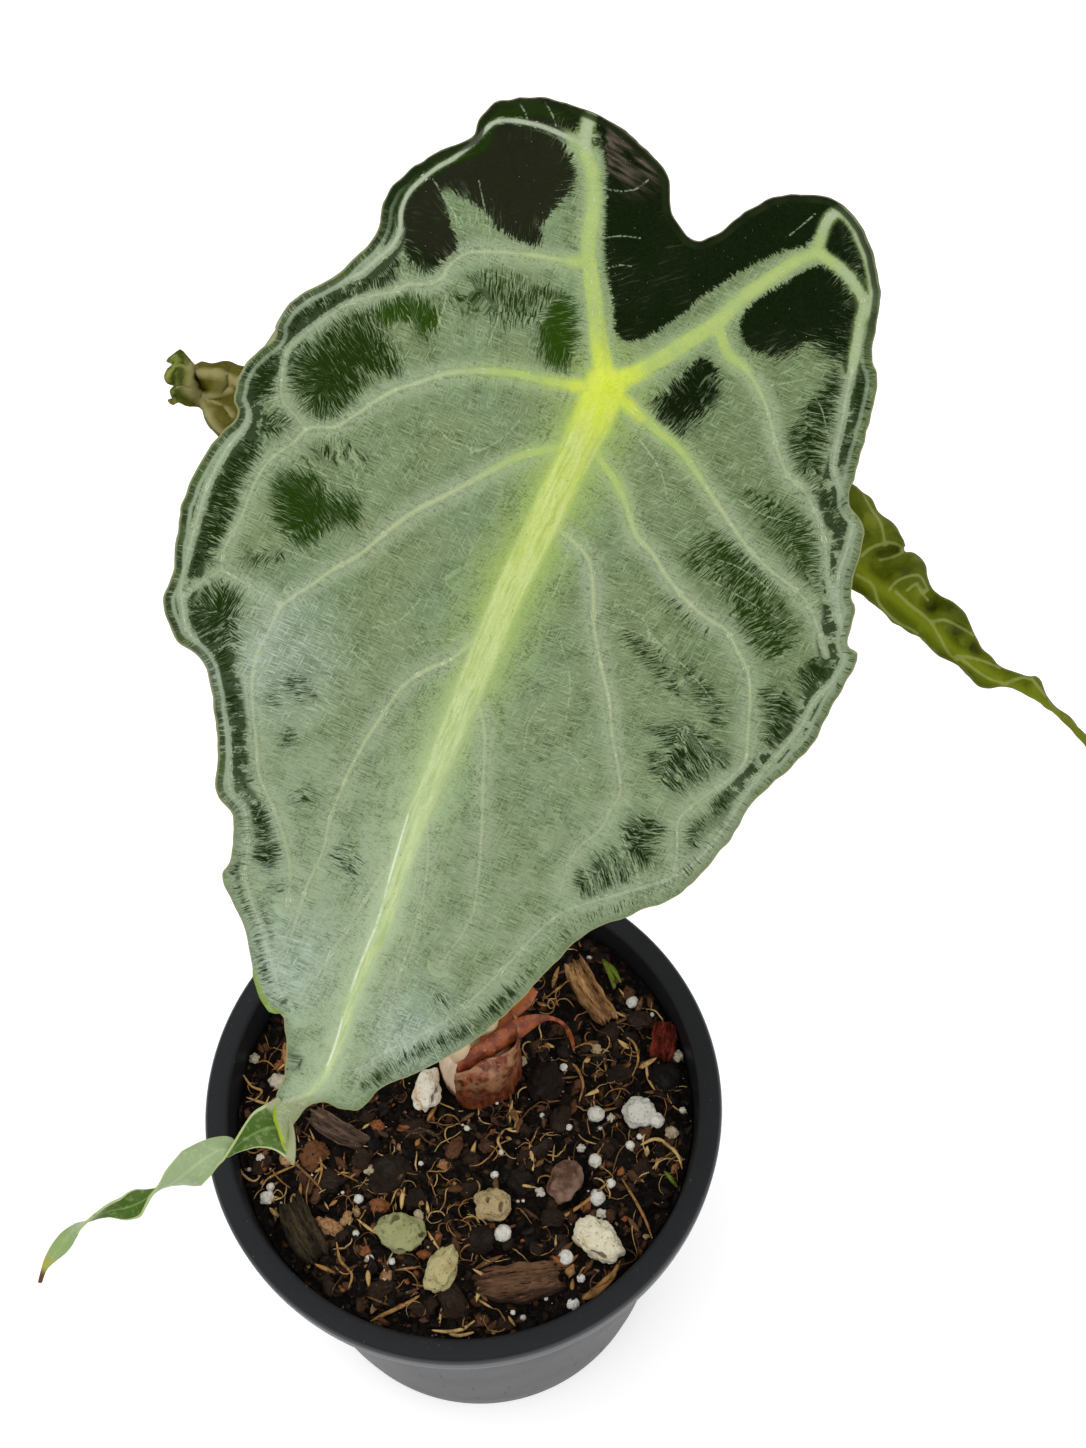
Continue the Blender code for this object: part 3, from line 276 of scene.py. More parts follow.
# Thin pale threads of the main leaf, as sheet points
MAIN_HAIRS = (
    ((471, 250), (455, 215), (433, 179)), ((491, 236), (484, 205), (479, 181)),
    ((600, 187), (618, 191), (636, 189), (648, 180)), ((604, 238), (621, 236), (640, 238)),
    ((608, 268), (620, 265), (631, 266)), ((412, 379), (399, 352), (387, 333), (373, 324), (369, 306)),
    ((252, 407), (268, 398), (282, 398)), ((279, 457), (321, 473), (334, 483), (372, 492)),
    ((281, 548), (316, 561), (340, 566)), ((442, 283), (446, 299), (437, 328)),
    ((766, 386), (781, 384), (805, 379)), ((500, 290), (498, 318), (488, 345)),
    ((790, 235), (806, 222), (815, 214)), ((520, 104), (526, 114), (528, 124)),
    ((545, 102), (552, 114), (556, 126)), ((686, 726), (700, 742), (708, 756), (711, 768)),
    ((670, 722), (682, 734), (686, 752)), ((612, 604), (640, 616), (656, 640), (690, 672), (712, 700)),
    ((604, 622), (640, 634), (654, 642)), ((573, 530), (566, 560), (556, 590)),
    ((745, 505), (772, 518), (800, 524)), ((700, 556), (736, 566), (768, 588)),
    ((714, 582), (746, 600), (784, 622)), ((812, 392), (822, 410), (828, 436)),
    ((622, 836), (636, 872), (640, 884)), ((580, 860), (592, 884), (600, 900)),
    ((188, 645), (206, 634), (222, 628)), ((205, 655), (224, 646), (240, 642)),
    ((210, 662), (218, 652), (222, 650)), ((255, 820), (262, 806), (266, 800)),
    ((520, 420), (500, 440), (470, 455)), ((455, 640), (430, 640), (400, 650)),
    ((548, 700), (530, 720), (524, 750)), ((560, 740), (576, 760), (592, 780)),
    ((430, 420), (450, 440), (480, 450)), ((560, 640), (570, 680), (566, 720)),
    ((360, 640), (340, 656), (330, 680)), ((300, 720), (318, 724), (340, 716)),
    ((420, 600), (400, 620), (372, 628)), ((640, 440), (660, 470), (668, 500)),
)
MAIN_STALK = ((-1, 10, 30), (3, 26, 62), (16, 52, 120), (26, 71, 165))
# The tail's folded start: sheet x and y and depth in mm of its first edge, then of its second
TAIL_FOLD = (
    (279, 1095, 393, 294, 1166, 394), (266, 1103, 394, 286, 1158, 395), (254, 1113, 395, 274, 1150, 396),
    (246, 1123, 396, 259, 1147.5, 396.5), (239, 1134, 396, 246, 1150, 397),
    (234, 1143, 396, 236, 1153, 397.4),
    (229, 1151, 396, 228, 1157, 398), (225, 1157, 396, 228, 1154, 399), (222, 1161, 396, 233, 1148, 400),
    (219, 1164, 396.4, 234, 1141, 400), (216, 1168, 397, 227, 1137, 400), (212, 1174, 397.6, 214, 1138, 400),
    (207, 1179, 398, 200, 1143, 400),
)
# The twisted tail: sheet x and y, depth in mm, half width in mm and turn in degrees
TAIL = (
    (192, 1168, 399, 3.7, 180), (174, 1178, 400, 2.6, 215), (156, 1190, 401, 1.3, 268),
    (140, 1201, 402, 2.6, 325), (124, 1209, 403, 2.4, 360), (106, 1213, 404, 1.5, 395),
    (86, 1223, 406, 0.9, 450), (73, 1233, 408, 1.5, 510), (61, 1246, 409, 1.6, 540),
    (50, 1259, 411, 1.0, 550), (44, 1269, 412, 0.45, 555), (40, 1282, 413, 0.3, 560),
)
TAIL_COLUMNS = 14
TAIL_HOLLOW = 0.35

# Left leaf
LEFT_JOINT = (352, 452)
LEFT_DEPTH = 372 * MM
LEFT_EDGE = (
    (243, 366), (231, 363), (221, 362), (212, 364), (203, 362), (198, 363), (195, 364), (188, 357),
    (183, 353), (179, 351), (173, 356), (168, 362), (173, 365), (167, 370), (164, 376), (166, 381),
    (171, 384), (175, 385), (171, 389), (171, 394), (173, 400), (168, 402), (173, 406), (178, 403),
    (188, 406), (202, 409), (206, 419), (211, 427), (217, 435), (250, 470), (285, 520), (315, 580),
    (345, 640), (368, 690), (400, 650), (440, 580), (462, 520), (468, 455), (450, 400), (420, 372),
    (392, 380), (370, 405), (345, 400), (310, 372), (275, 362),
)
LEFT_MIDRIB = ((352, 452), (358, 540), (367, 670))
LEFT_VEINS = (
    (0.6, 0.35, (350, 448), (300, 412), (262, 392), (236, 382), (226, 380), (217, 376), (203, 373),
     (192, 373)),
    (0.6, 0.3, (358, 448), (400, 425), (438, 415)),
    (0.5, 0.3, (352, 462), (310, 470), (275, 478)),
    (0.5, 0.3, (356, 520), (330, 555), (325, 580)),
    (0.5, 0.3, (356, 462), (410, 475), (448, 490)),
    (0.5, 0.3, (360, 530), (395, 560), (420, 580)),
    (0.35, 0.25, (180, 362), (181, 372), (177, 384), (184, 391), (191, 396), (200, 401), (207, 406)),
    (0.4, 0.25, (194, 365), (189, 369), (188, 376), (189, 386), (193, 392), (203, 397), (210, 397),
     (219, 393), (234, 391)),
    (0.3, 0.2, (204, 407), (211, 416), (219, 426), (223, 430)),
    (0.3, 0.2, (211, 403), (223, 406), (231, 411), (236, 416)),
)
# Hollows of the left leaf, and bulges below zero: sheet point, reach and depth in mm
LEFT_PITS = (
    (200, 385, 9, 1.3), (195, 372, 7, 0.9), (204, 393, 7, 1.3), (182, 386, 4, 0.9), (226, 410, 6, 1.0),
    (214, 401, 5, 1.1), (211, 425, 5, 0.7), (231, 416, 5, 1.0), (219, 370, 8, 0.4), (222, 385, 9, -0.7),
    (186, 378, 6, -0.5), (213, 414, 6, -0.7), (169, 375, 6, -0.7), (224, 420, 6, -0.6),
)
LEFT_STALK = ((-6, 5, 30), (-10, 18, 60), (-15, 34, 98), (-18, 49, 130))

# Right leaf
RIGHT_JOINT = (742, 470)
RIGHT_DEPTH = 371 * MM
RIGHT_EDGE = (
    (742, 440), (760, 418), (790, 412), (815, 424), (838, 450), (849, 480), (857, 487), (864, 493),
    (871, 498), (879, 513), (891, 520), (898, 530), (904, 541), (905, 551), (914, 553), (926, 566),
    (930, 584), (939, 595), (952, 601), (965, 613), (973, 630), (981, 647), (992, 658), (1003, 667),
    (1028, 676), (1037, 677), (1045, 689), (1053, 704), (1068, 716), (1080, 729), (1095, 742),
    (1118, 766), (1140, 800), (1108, 772), (1086, 747), (1070, 729), (1057, 717), (1045, 706),
    (1032, 698), (1019, 692), (1003, 687), (990, 688), (977, 686), (969, 676), (958, 666), (942, 657),
    (931, 649), (920, 638), (904, 630), (893, 622), (880, 610), (855, 591), (830, 578), (795, 560),
    (750, 552), (715, 532), (695, 505), (690, 478), (705, 462), (725, 462),
)
RIGHT_MIDRIB = (
    (742, 472), (800, 520), (850, 562), (871, 583), (893, 596), (914, 614), (935, 633), (956, 652),
    (980, 668), (1004, 682), (1030, 695), (1060, 716), (1110, 764),
)
RIGHT_VEINS = (
    (0.6, 0.3, (745, 468), (765, 445), (790, 432)),
    (0.6, 0.3, (742, 476), (722, 490), (708, 500)),
    (0.5, 0.3, (790, 512), (815, 480), (838, 470)),
    (0.5, 0.3, (780, 506), (772, 525), (755, 540)),
    (0.35, 0.25, (857, 575), (872, 585), (880, 605), (897, 622), (914, 631), (923, 640), (934, 650)),
    (0.3, 0.2, (885, 545), (881, 524), (872, 510), (863, 494)),
    (0.35, 0.25, (862, 556), (868, 550), (878, 545), (893, 543), (904, 550), (893, 557), (880, 560)),
    (0.25, 0.2, (889, 590), (896, 582), (906, 577), (918, 575), (923, 580), (928, 590)),
    (0.35, 0.25, (896, 592), (910, 605), (923, 615), (932, 624), (939, 636), (948, 652), (956, 660)),
    (0.3, 0.2, (931, 622), (940, 620), (948, 621), (965, 630), (977, 638), (984, 648)),
    (0.3, 0.2, (956, 656), (969, 657), (986, 662), (1000, 668)),
    (0.3, 0.2, (958, 657), (968, 664), (977, 671), (990, 679), (1003, 683)),
    (0.35, 0.25, (1003, 686), (1014, 680), (1029, 677), (1036, 684), (1044, 694), (1053, 705)),
    (0.25, 0.2, (908, 590), (916, 584), (921, 592), (928, 600)),
)
# Hollows of the right leaf, and bulges below zero: sheet point, reach and depth in mm
RIGHT_PITS = (
    (881, 554, 6, 1.0), (893, 550, 7, 1.3), (907, 570, 8, 0.9), (888, 574, 7, 0.5), (931, 605, 8, 1.1),
    (948, 606, 7, 0.9), (957, 628, 8, 1.2), (976, 648, 8, 1.4), (942, 656, 6, 0.6), (968, 672, 7, 0.7),
    (990, 672, 8, 0.6), (901, 536, 5, 0.4), (872, 522, 10, -0.9), (892, 529, 6, -0.5), (912, 561, 6, -0.7),
    (917, 594, 8, -0.9), (866, 566, 8, -0.6), (944, 628, 8, -0.6), (962, 642, 6, -0.7), (950, 603, 5, -0.3),
    (920, 628, 6, -0.5), (1036, 688, 8, -0.7), (1016, 690, 7, -0.4),
)
RIGHT_STALK = ((5, 6, 30), (13, 20, 62), (34, 41, 110), (46, 55, 132))

# Stones on the soil: name, sheet point, length, width and height in mm, turn in degrees
STONES = (
    ("pumice_1", (428, 1093), 10.0, 6.2, 6.0, 80), ("pumice_2", (639, 1115), 7.6, 7.2, 6.0, 20),
    ("pumice_3", (598, 1243), 12.0, 8.4, 8.0, -40), ("pumice_4", (401, 1235), 11.0, 8.6, 7.0, -15),
    ("pumice_5", (442, 1272), 10.5, 6.4, 6.0, 65), ("pumice_6", (494, 1207), 8.4, 7.4, 6.0, 0),
    ("pebble", (565, 1184), 9.4, 7.2, 6.5, 60),
)
# Bark chips: name, sheet point, length, width and thickness in mm, turn in degrees
CHIPS = (
    ("bark_1", (588, 993), 18.0, 6.2, 5.0, -62), ("bark_2", (521, 1284), 18.5, 8.6, 5.0, 5),
    ("bark_3", (302, 1232), 15.5, 7.4, 4.5, -62), ("bark_4", (338, 1132), 15.0, 5.0, 4.0, -32),
    ("bark_5", (664, 1042), 9.0, 6.2, 4.5, 80),
)
# Lesser lumps lying on the soil: sheet point, length, width, height in mm, turn in degrees and tone
LUMPS = (
    (389, 1176, 11.0, 8.6, 5.0, 30, 0.16), (545, 1083, 10.5, 8.0, 5.0, 70, 0.14),
    (666, 1080, 7.6, 7.0, 5.0, 10, 0.03), (377, 1126, 3.4, 2.8, 2.6, 0, 0.74),
    (379, 1206, 4.8, 3.4, 3.0, -10, 0.72), (425, 1254, 3.4, 2.2, 2.2, 10, 0.78),
    (437, 1237, 3.4, 2.2, 2.2, 70, 0.78), (490, 1229, 3.6, 3.0, 2.6, 20, 0.80),
    (472, 1162, 5.2, 4.2, 3.6, 80, 0.36), (444, 1166, 3.0, 2.8, 2.6, 0, 0.84),
    (487, 1147, 3.6, 3.2, 3.0, 0, 0.46), (454, 1149, 6.0, 3.0, 2.6, 60, 0.62),
    (452, 1300, 9.0, 6.0, 4.0, -60, 0.22), (480, 1240, 7.0, 6.0, 3.0, 20, 0.12),
    (312, 1157, 8.0, 6.5, 2.6, 50, 0.66), (333, 1229, 8.0, 3.6, 2.4, -30, 0.86),
    (346, 1222, 4.4, 2.6, 2.4, 70, 0.88), (415, 1129, 7.0, 5.0, 3.0, 10, 0.25),
    (540, 1150, 6.0, 4.0, 3.0, 40, 0.20), (620, 1075, 6.5, 5.0, 3.4, 0, 0.18),
    (560, 1120, 6.0, 4.6, 3.0, 70, 0.22), (606, 1150, 6.0, 4.6, 3.0, 20, 0.25),
    (330, 1180, 7.5, 5.2, 3.2, 10, 0.20), (362, 1160, 5.6, 4.2, 3.0, 60, 0.28),
    (470, 1190, 6.6, 5.2, 3.4, 10, 0.18), (520, 1180, 6.0, 5.0, 3.0, 60, 0.15),
    (640, 1170, 6.6, 4.2, 3.0, 60, 0.24), (552, 1218, 5.4, 4.0, 3.0, 0, 0.20),
    (414, 1200, 5.8, 4.4, 3.0, 40, 0.16), (380, 1290, 6.6, 4.2, 3.0, 20, 0.26),
    (420, 1310, 5.6, 3.4, 2.6, -30, 0.32), (610, 1035, 7.0, 5.0, 3.2, 40, 0.20),
    (640, 1020, 6.0, 4.4, 3.0, 0, 0.28), (270, 1120, 6.0, 4.2, 3.0, 60, 0.24),
    (262, 1165, 5.0, 3.8, 2.8, 60, 0.30), (505, 1325, 6.0, 3.6, 2.6, 10, 0.26),
)
# White and cream beads lying on the soil: sheet point, radius in mm and tone
BEADS = (
    (596, 1116, 2.0, 0.75), (503, 1235, 2.0, 0.8), (597, 1199, 1.9, 0.9), (601, 1215, 1.2, 0.7),
    (611, 1184, 1.1, 0.85), (522, 1063, 1.2, 0.45), (564, 1069, 1.0, 0.8), (632, 1004, 1.5, 0.95),
    (596, 1050, 1.2, 0.4), (656, 1122, 1.9, 0.85), (672, 1133, 1.5, 0.5), (566, 1259, 1.7, 0.95),
    (581, 1279, 1.0, 0.9), (573, 1305, 1.4, 0.95), (546, 1299, 0.5, 0.9), (513, 1313, 0.6, 0.9),
    (385, 1281, 0.6, 0.95), (392, 1262, 0.8, 0.95), (370, 1260, 1.1, 0.85), (268, 1199, 1.6, 0.7),
    (271, 1188, 1.0, 0.8), (359, 1200, 1.1, 0.9), (356, 1234, 0.8, 0.9), (419, 1217, 1.2, 0.5),
    (369, 1171, 1.3, 0.5), (421, 1164, 0.6, 0.95), (309, 1148, 1.0, 0.85), (261, 1159, 1.0, 0.7),
    (255, 1060, 1.2, 0.55), (278, 1083, 1.9, 0.6), (678, 1058, 1.3, 0.6), (630, 1146, 1.1, 0.85),
    (640, 1137, 0.8, 0.9), (595, 1162, 1.6, 0.75), (581, 1149, 1.0, 0.7), (569, 1128, 0.8, 0.95),
    (611, 1119, 1.0, 0.6), (683, 1111, 0.8, 0.7), (501, 1153, 0.7, 0.9), (542, 1116, 0.6, 0.95),
    (467, 1129, 0.7, 0.85), (497, 1103, 0.5, 0.95), (495, 1176, 1.0, 0.9), (540, 1193, 1.1, 0.7),
    (446, 1262, 0.5, 0.9), (652, 1015, 0.6, 0.95), (598, 1050, 0.9, 0.6), (523, 1318, 0.7, 0.9),
)
# Long fibres and slivers: half width in mm, tone, then sheet points
STRANDS = (
    (0.42, 0.80, (543, 1229), (562, 1219), (585, 1203), (608, 1184)),
    (0.60, 0.78, (595, 1289), (606, 1281), (614, 1273), (620, 1262)),
    (1.10, 0.76, (582, 1300), (594, 1294), (606, 1284), (616, 1274)),
    (0.50, 0.92, (640, 1146), (655, 1141), (668, 1146), (678, 1158), (682, 1170)),
    (0.50, 0.90, (530, 1145), (532, 1158), (533, 1172)),
    (0.35, 0.82, (337, 1243), (341, 1262), (352, 1275), (349, 1290)),
    (0.45, 0.90, (432, 1331), (447, 1333), (462, 1330), (475, 1322)),
    (0.40, 0.88, (447, 1333), (459, 1337), (474, 1333)),
    (0.50, 0.80, (371, 1322), (388, 1314), (404, 1306), (420, 1297)),
    (0.35, 0.85, (243, 1075), (252, 1088), (262, 1092), (256, 1101), (246, 1103)),
    (0.35, 0.85, (244, 1145), (252, 1128), (263, 1112), (270, 1098)),
    (0.30, 0.84, (236, 1160), (243, 1175), (254, 1182), (262, 1176)),
    (0.30, 0.75, (574, 1049), (590, 1046), (603, 1060), (607, 1078)),
    (0.35, 0.72, (560, 1060), (575, 1068), (583, 1085), (579, 1104)),
    (0.30, 0.80, (621, 1035), (634, 1045), (638, 1062), (632, 1078)),
    (0.35, 0.85, (646, 1065), (648, 1080), (655, 1092)),
    (0.40, 0.60, (487, 1020), (508, 1085), (511, 1110)),
    (0.35, 0.70, (622, 1180), (634, 1200), (645, 1220), (652, 1240)),
    (0.30, 0.78, (300, 1165), (285, 1172), (268, 1180), (262, 1190)),
    (0.30, 0.82, (310, 1130), (318, 1150), (322, 1170), (318, 1188)),
    (0.35, 0.30, (405, 1115), (418, 1126), (432, 1122), (444, 1131)),
    (0.35, 0.30, (398, 1128), (414, 1134), (430, 1132), (441, 1142)),
    (0.35, 0.28, (404, 1140), (420, 1130), (436, 1136), (448, 1128)),
    (0.30, 0.35, (410, 1118), (424, 1140), (438, 1147)),
    (0.45, 0.70, (508, 1105), (517, 1118), (514, 1132)),
    (0.30, 0.86, (505, 1130), (498, 1142), (504, 1154)),
    (0.35, 0.62, (289, 1157), (300, 1169), (310, 1178), (325, 1195)),
    (0.50, 1.1, (664, 1172), (670, 1179), (677, 1188)), (0.60, 1.1, (604, 962), (613, 971), (621, 984)),
    (0.90, 1.1, (602, 960), (608, 970), (613, 982), (614, 991)),
)


def sight(x, y):
    """The direction of the line of sight through a sheet point, one unit long along FORWARD."""
    across = (x - SHEET_CENTRE[0]) / SHEET_DISTANCE
    rise = (SHEET_CENTRE[1] - y) / SHEET_DISTANCE
    return FORWARD + across * RIGHT + rise * UP


def seen(x, y, depth):
    """The point at this depth that the sheet shows at (x, y)."""
    return EYE + depth * sight(x, y)


def on_level(x, y, z):
    """The point at height z that the sheet shows at (x, y)."""
    ray = sight(x, y)
    return EYE + ray * ((z - EYE.z) / ray.z)


def smooth_line(points, step, closed=False):
    """A Catmull-Rom curve through the points, as new points about a step apart."""
    knots = [Vector(p) for p in points]
    count = len(knots)
    line = []
    for i in range(count if closed else count - 1):
        before = knots[i - 1] if closed or i else knots[0]
        start = knots[i]
        end = knots[(i + 1) % count]
        after = knots[(i + 2) % count] if closed or i + 2 < count else end
        parts = max(1, round((end - start).length / step))
        for k in range(parts):
            t = k / parts
            line.append(
                0.5 * (2 * start + (end - before) * t
                       + (2 * before - 5 * start + 4 * end - after) * t ** 2
                       + (3 * start - before - 3 * end + after) * t ** 3)
            )
    if not closed:
        line.append(knots[-1])
    return line


def inside(point, outline):
    """Whether a sheet point lies inside a closed outline."""
    odd = False
    for a, b in zip(outline, outline[1:] + outline[:1]):
        if (a.y > point.y) != (b.y > point.y):
            if point.x < a.x + (point.y - a.y) * (b.x - a.x) / (b.y - a.y):
                odd = not odd
    return odd


def ragged(point):
    """A sheet point of a leaf's margin, moved a little to roughen the margin."""
    spot = Vector((point.x, point.y, 0)) * 0.075
    sway = Vector((noise.noise(spot + Vector((9.3, 1.5, 7.9))), noise.noise(spot + Vector((0, 0, 3.4)))))
    return point + 1.8 * sway


def box_of(points):
    """The low and the high corner of some sheet points."""
    low = Vector((min(p.x for p in points), min(p.y for p in points)))
    high = Vector((max(p.x for p in points), max(p.y for p in points)))
    return low, high


def fade(distance, reach):
    """One at no distance, falling off as a bell of the given reach."""
    return math.exp(-((distance / reach) ** 2))


def ease(value, low, high):
    """Zero below low, one above high, and smooth between."""
    t = min(1, max(0, (value - low) / (high - low)))
    return t * t * (3 - 2 * t)


def srgb(red, green, blue):
    """A linear colour from 0 to 255 display numbers."""
    return tuple(
        c / 255 / 12.92 if c <= 10 else ((c / 255 + 0.055) / 1.055) ** 2.4 for c in (red, green, blue)
    )


def times(colour, *shares):
    """A colour made darker or lighter, by one share or by one for each channel."""
    return tuple(min(1, c * share) for c, share in zip(colour, shares * (3 // len(shares))))


class Nearest:
    """The nearest of some sample points on the sheet, with its line's number and how far along it is."""

    def __init__(self, lines):
        self.marks = []
        self.lengths = []
        for number, line in enumerate(lines):
            run = 0
            for i, point in enumerate(line):
                run += (point - line[i - 1]).length if i else 0
                self.marks.append((point, run, number))
            self.lengths.append(run)
        self.tree = KDTree(len(self.marks))
        for i, (point, _, _) in enumerate(self.marks):
            self.tree.insert((point.x, point.y, 0), i)
        self.tree.balance()

    def find(self, x, y):
        """The distance to the nearest sample, how far along its line it is, and the line's number."""
        _, index, distance = self.tree.find((x, y, 0))
        _, run, number = self.marks[index]
        return distance, run, number

    def spot(self, x, y):
        """The nearest sample itself."""
        return self.marks[self.tree.find((x, y, 0))[1]][0]


class Pane:
    """A dark window between the veins of a leaf, with its outline on the sheet."""

    margin = 26

    def __init__(self, veil, vivid, *points):
        self.veil = veil
        self.vivid = vivid
        self.outline = smooth_line(points, 2.0, closed=True)
        self.near = Nearest([self.outline])
        self.low, self.high = box_of(self.outline)

    def close_to(self, x, y):
        """Whether a sheet point lies in the window or not far from it."""
        return (
            self.low.x - self.margin < x < self.high.x + self.margin
            and self.low.y - self.margin < y < self.high.y + self.margin
        )

    def depth(self, x, y):
        """How far a sheet point lies inside the outline, below zero outside it."""
        distance = self.near.find(x, y)[0]
        return distance if inside(Vector((x, y)), self.outline) else -distance


# Shader maths


class Value:
    """A socket in a material's node tree, so that shader maths reads as plain expressions."""

    def __init__(self, finish, socket):
        self.finish = finish
        self.socket = socket

    def __add__(self, other):
        return self.finish.math("ADD", self, other)

    def __sub__(self, other):
        return self.finish.math("SUBTRACT", self, other)

    def __rsub__(self, other):
        return self.finish.math("SUBTRACT", other, self)

    def __mul__(self, other):
        return self.finish.math("MULTIPLY", self, other)

    __radd__ = __add__
    __rmul__ = __mul__

    def least(self, other):
        """The smaller of two values."""
        return self.finish.math("MINIMUM", self, other)

    def most(self, other):
        """The larger of two values."""
        return self.finish.math("MAXIMUM", self, other)

    def step(self, low, high):
        """Zero below low and one above high, smooth between. Low may be the larger."""
        settings = {"interpolation_type": "SMOOTHSTEP"}
        inputs = {"Value": self, "From Min": low, "From Max": high}
        return self.finish.node("ShaderNodeMapRange", settings, inputs)

    def part(self, axis):
        """One of a vector's three numbers."""
        return self.finish.node("ShaderNodeSeparateXYZ", {}, {0: self}, axis)

    def measure(self, operation, other=(0.0, 0.0, 0.0)):
        """The length of a vector, or its distance from another."""
        inputs = {0: self, 1: other}
        return self.finish.node("ShaderNodeVectorMath", {"operation": operation}, inputs, "Value")

    def stretch(self, scale, turn=0.0):
        """A vector turned about Z by an angle in degrees, then scaled."""
        vector = self
        if turn:
            inputs = {"Vector": self, "Angle": math.radians(turn)}
            vector = self.finish.node("ShaderNodeVectorRotate", {"rotation_type": "Z_AXIS"}, inputs)
        return self.finish.node("ShaderNodeVectorMath", {"operation": "MULTIPLY"}, {0: vector, 1: scale})

    def warp(self, scale, amount):
        """A vector moved about by noise."""
        inputs = {"Vector": self, "Scale": scale, "Detail": 2.0}
        swirl = self.finish.node("ShaderNodeTexNoise", {}, inputs, "Color")
        inputs = {0: swirl, 1: (amount,) * 3, 2: self}
        return self.finish.node("ShaderNodeVectorMath", {"operation": "MULTIPLY_ADD"}, inputs)

    def noise(self, scale, detail=3.0, roughness=0.5):
        """Cloudy noise from 0 to 1."""
        inputs = {"Vector": self, "Scale": scale, "Detail": detail, "Roughness": roughness}
        return self.finish.node("ShaderNodeTexNoise", {}, inputs, "Fac")

    def streaks(self, scale, detail, roughness=0.5, turn=0.0):
        """Noise drawn out along an axis, by a scale for each."""
        return self.stretch(scale, turn).noise(1.0, detail, roughness)

    def cells(self, scale, feature="F1"):
        """The distance to the nearest of scattered points, or another feature of them."""
        inputs = {"Vector": self, "Scale": scale}
        return self.finish.node("ShaderNodeTexVoronoi", {"feature": feature}, inputs, "Distance")

    def near(self, spot, reach):
        """One at a spot, falling to zero at the reach, both in the vector's own units."""
        return self.measure("DISTANCE", spot).step(reach, 0.0)


class Finish:
    """A procedural material, with a method for each kind of node that the plant needs."""

    def __init__(self, name, roughness=0.5, gleam=0.12):
        self.material = bpy.data.materials.new(name)
        self.material.use_nodes = True
        self.tree = self.material.node_tree
        self.shader = self.tree.nodes["Principled BSDF"].inputs
        self.shader["Roughness"].default_value = roughness
        self.shader["Specular IOR Level"].default_value = gleam

    def node(self, kind, settings, inputs, output=0):
        """An output of a new node: settings are set first, and inputs are values or links by socket."""
        made = self.tree.nodes.new(kind)
        for key, value in settings.items():
            setattr(made, key, value)
        for key, value in inputs.items():
            self.feed(made.inputs[key], value)
        return Value(self, made.outputs[output])

    def feed(self, socket, value):
        """Links a value to a socket, or sets a constant on it."""
        if isinstance(value, Value):
            self.tree.links.new(value.socket, socket)
        elif isinstance(value, tuple) and socket.type == "RGBA":
            socket.default_value = (*value, 1)
        else:
            socket.default_value = value

    def math(self, operation, a, b):
        """A sum, a product or the like of two values."""
        return self.node("ShaderNodeMath", {"operation": operation}, {0: a, 1: b})

    def mix(self, factor, a, b):
        """One colour passing into another."""
        settings = {"data_type": "RGBA", "clamp_factor": True}
        return self.node("ShaderNodeMix", settings, {0: factor, 6: a, 7: b}, 2)

    def coats(self, colour, *rows):
        """A colour under coats, each given as its mask and its own colour."""
        for mask, coat in rows:
            colour = self.mix(mask, colour, coat)
        return colour

    def numbers(self, *names):
        """The numbers stored on the mesh under some names."""
        return [self.node("ShaderNodeAttribute", {"attribute_name": name}, {}, "Fac") for name in names]

    def vector(self, name):
        """A vector stored on the mesh."""
        return self.node("ShaderNodeAttribute", {"attribute_name": name}, {}, "Vector")

    def place(self):
        """The place on the object, in metres."""
        return self.node("ShaderNodeTexCoord", {}, {}, "Object")

    def set(self, **inputs):
        """Feeds the shader's sockets. An underscore in a name stands for a space."""
        for key, value in inputs.items():
            self.feed(self.shader[key.replace("_", " ")], value)

    def done(self, colour, roughness, height, depth, strength):
        """The finish with its colour and roughness, and relief from a height and its depth in metres."""
        relief = {"Height": height, "Strength": strength, "Distance": depth}
        self.set(Base_Color=colour, Roughness=roughness, Normal=self.node("ShaderNodeBump", {}, relief))
        return self


# Mesh helpers


def place_piece(name, mesh, finishes, node=None):
    """An object for a mesh, riding on the part's one body, and standing for a node of the solid model."""
    if not len(mesh.polygons):
        raise RuntimeError(f"{name} has no faces")
    piece = bpy.data.objects.new(name, mesh)
    bpy.context.scene.collection.objects.link(piece)
    for finish in finishes:
        mesh.materials.append(finish.material)
    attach(piece, "root")
    if node:
        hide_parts(node)
    return piece


def frozen(piece):
    """Applies the piece's modifiers."""
    graph = bpy.context.evaluated_depsgraph_get()
    mesh = bpy.data.meshes.new_from_object(piece.evaluated_get(graph))
    piece.modifiers.clear()
    piece.data = mesh


def store(mesh, name, values, kind="FLOAT", domain="POINT"):
    """Keeps a list of numbers or vectors on the mesh under a name."""
    layer = mesh.attributes.new(name, kind, domain)
    if kind == "FLOAT":
        layer.data.foreach_set("value", values)
    else:
        layer.data.foreach_set("vector", [c for value in values for c in value])


def smooth_mesh(name, points, faces, **layers):
    """A smooth mesh from points and faces, with numbers stored on its points by name."""
    mesh = bpy.data.meshes.new(name)
    mesh.from_pydata(points, [], faces)
    mesh.shade_smooth()
    for layer, values in layers.items():
        store(mesh, layer, values)
    return mesh


def thicken(piece, thickness, **settings):
    """Gives a thin sheet its thickness."""
    skin = piece.modifiers.new("thickness", "SOLIDIFY")
    skin.thickness = thickness
    for key, value in settings.items():
        setattr(skin, key, value)
    frozen(piece)


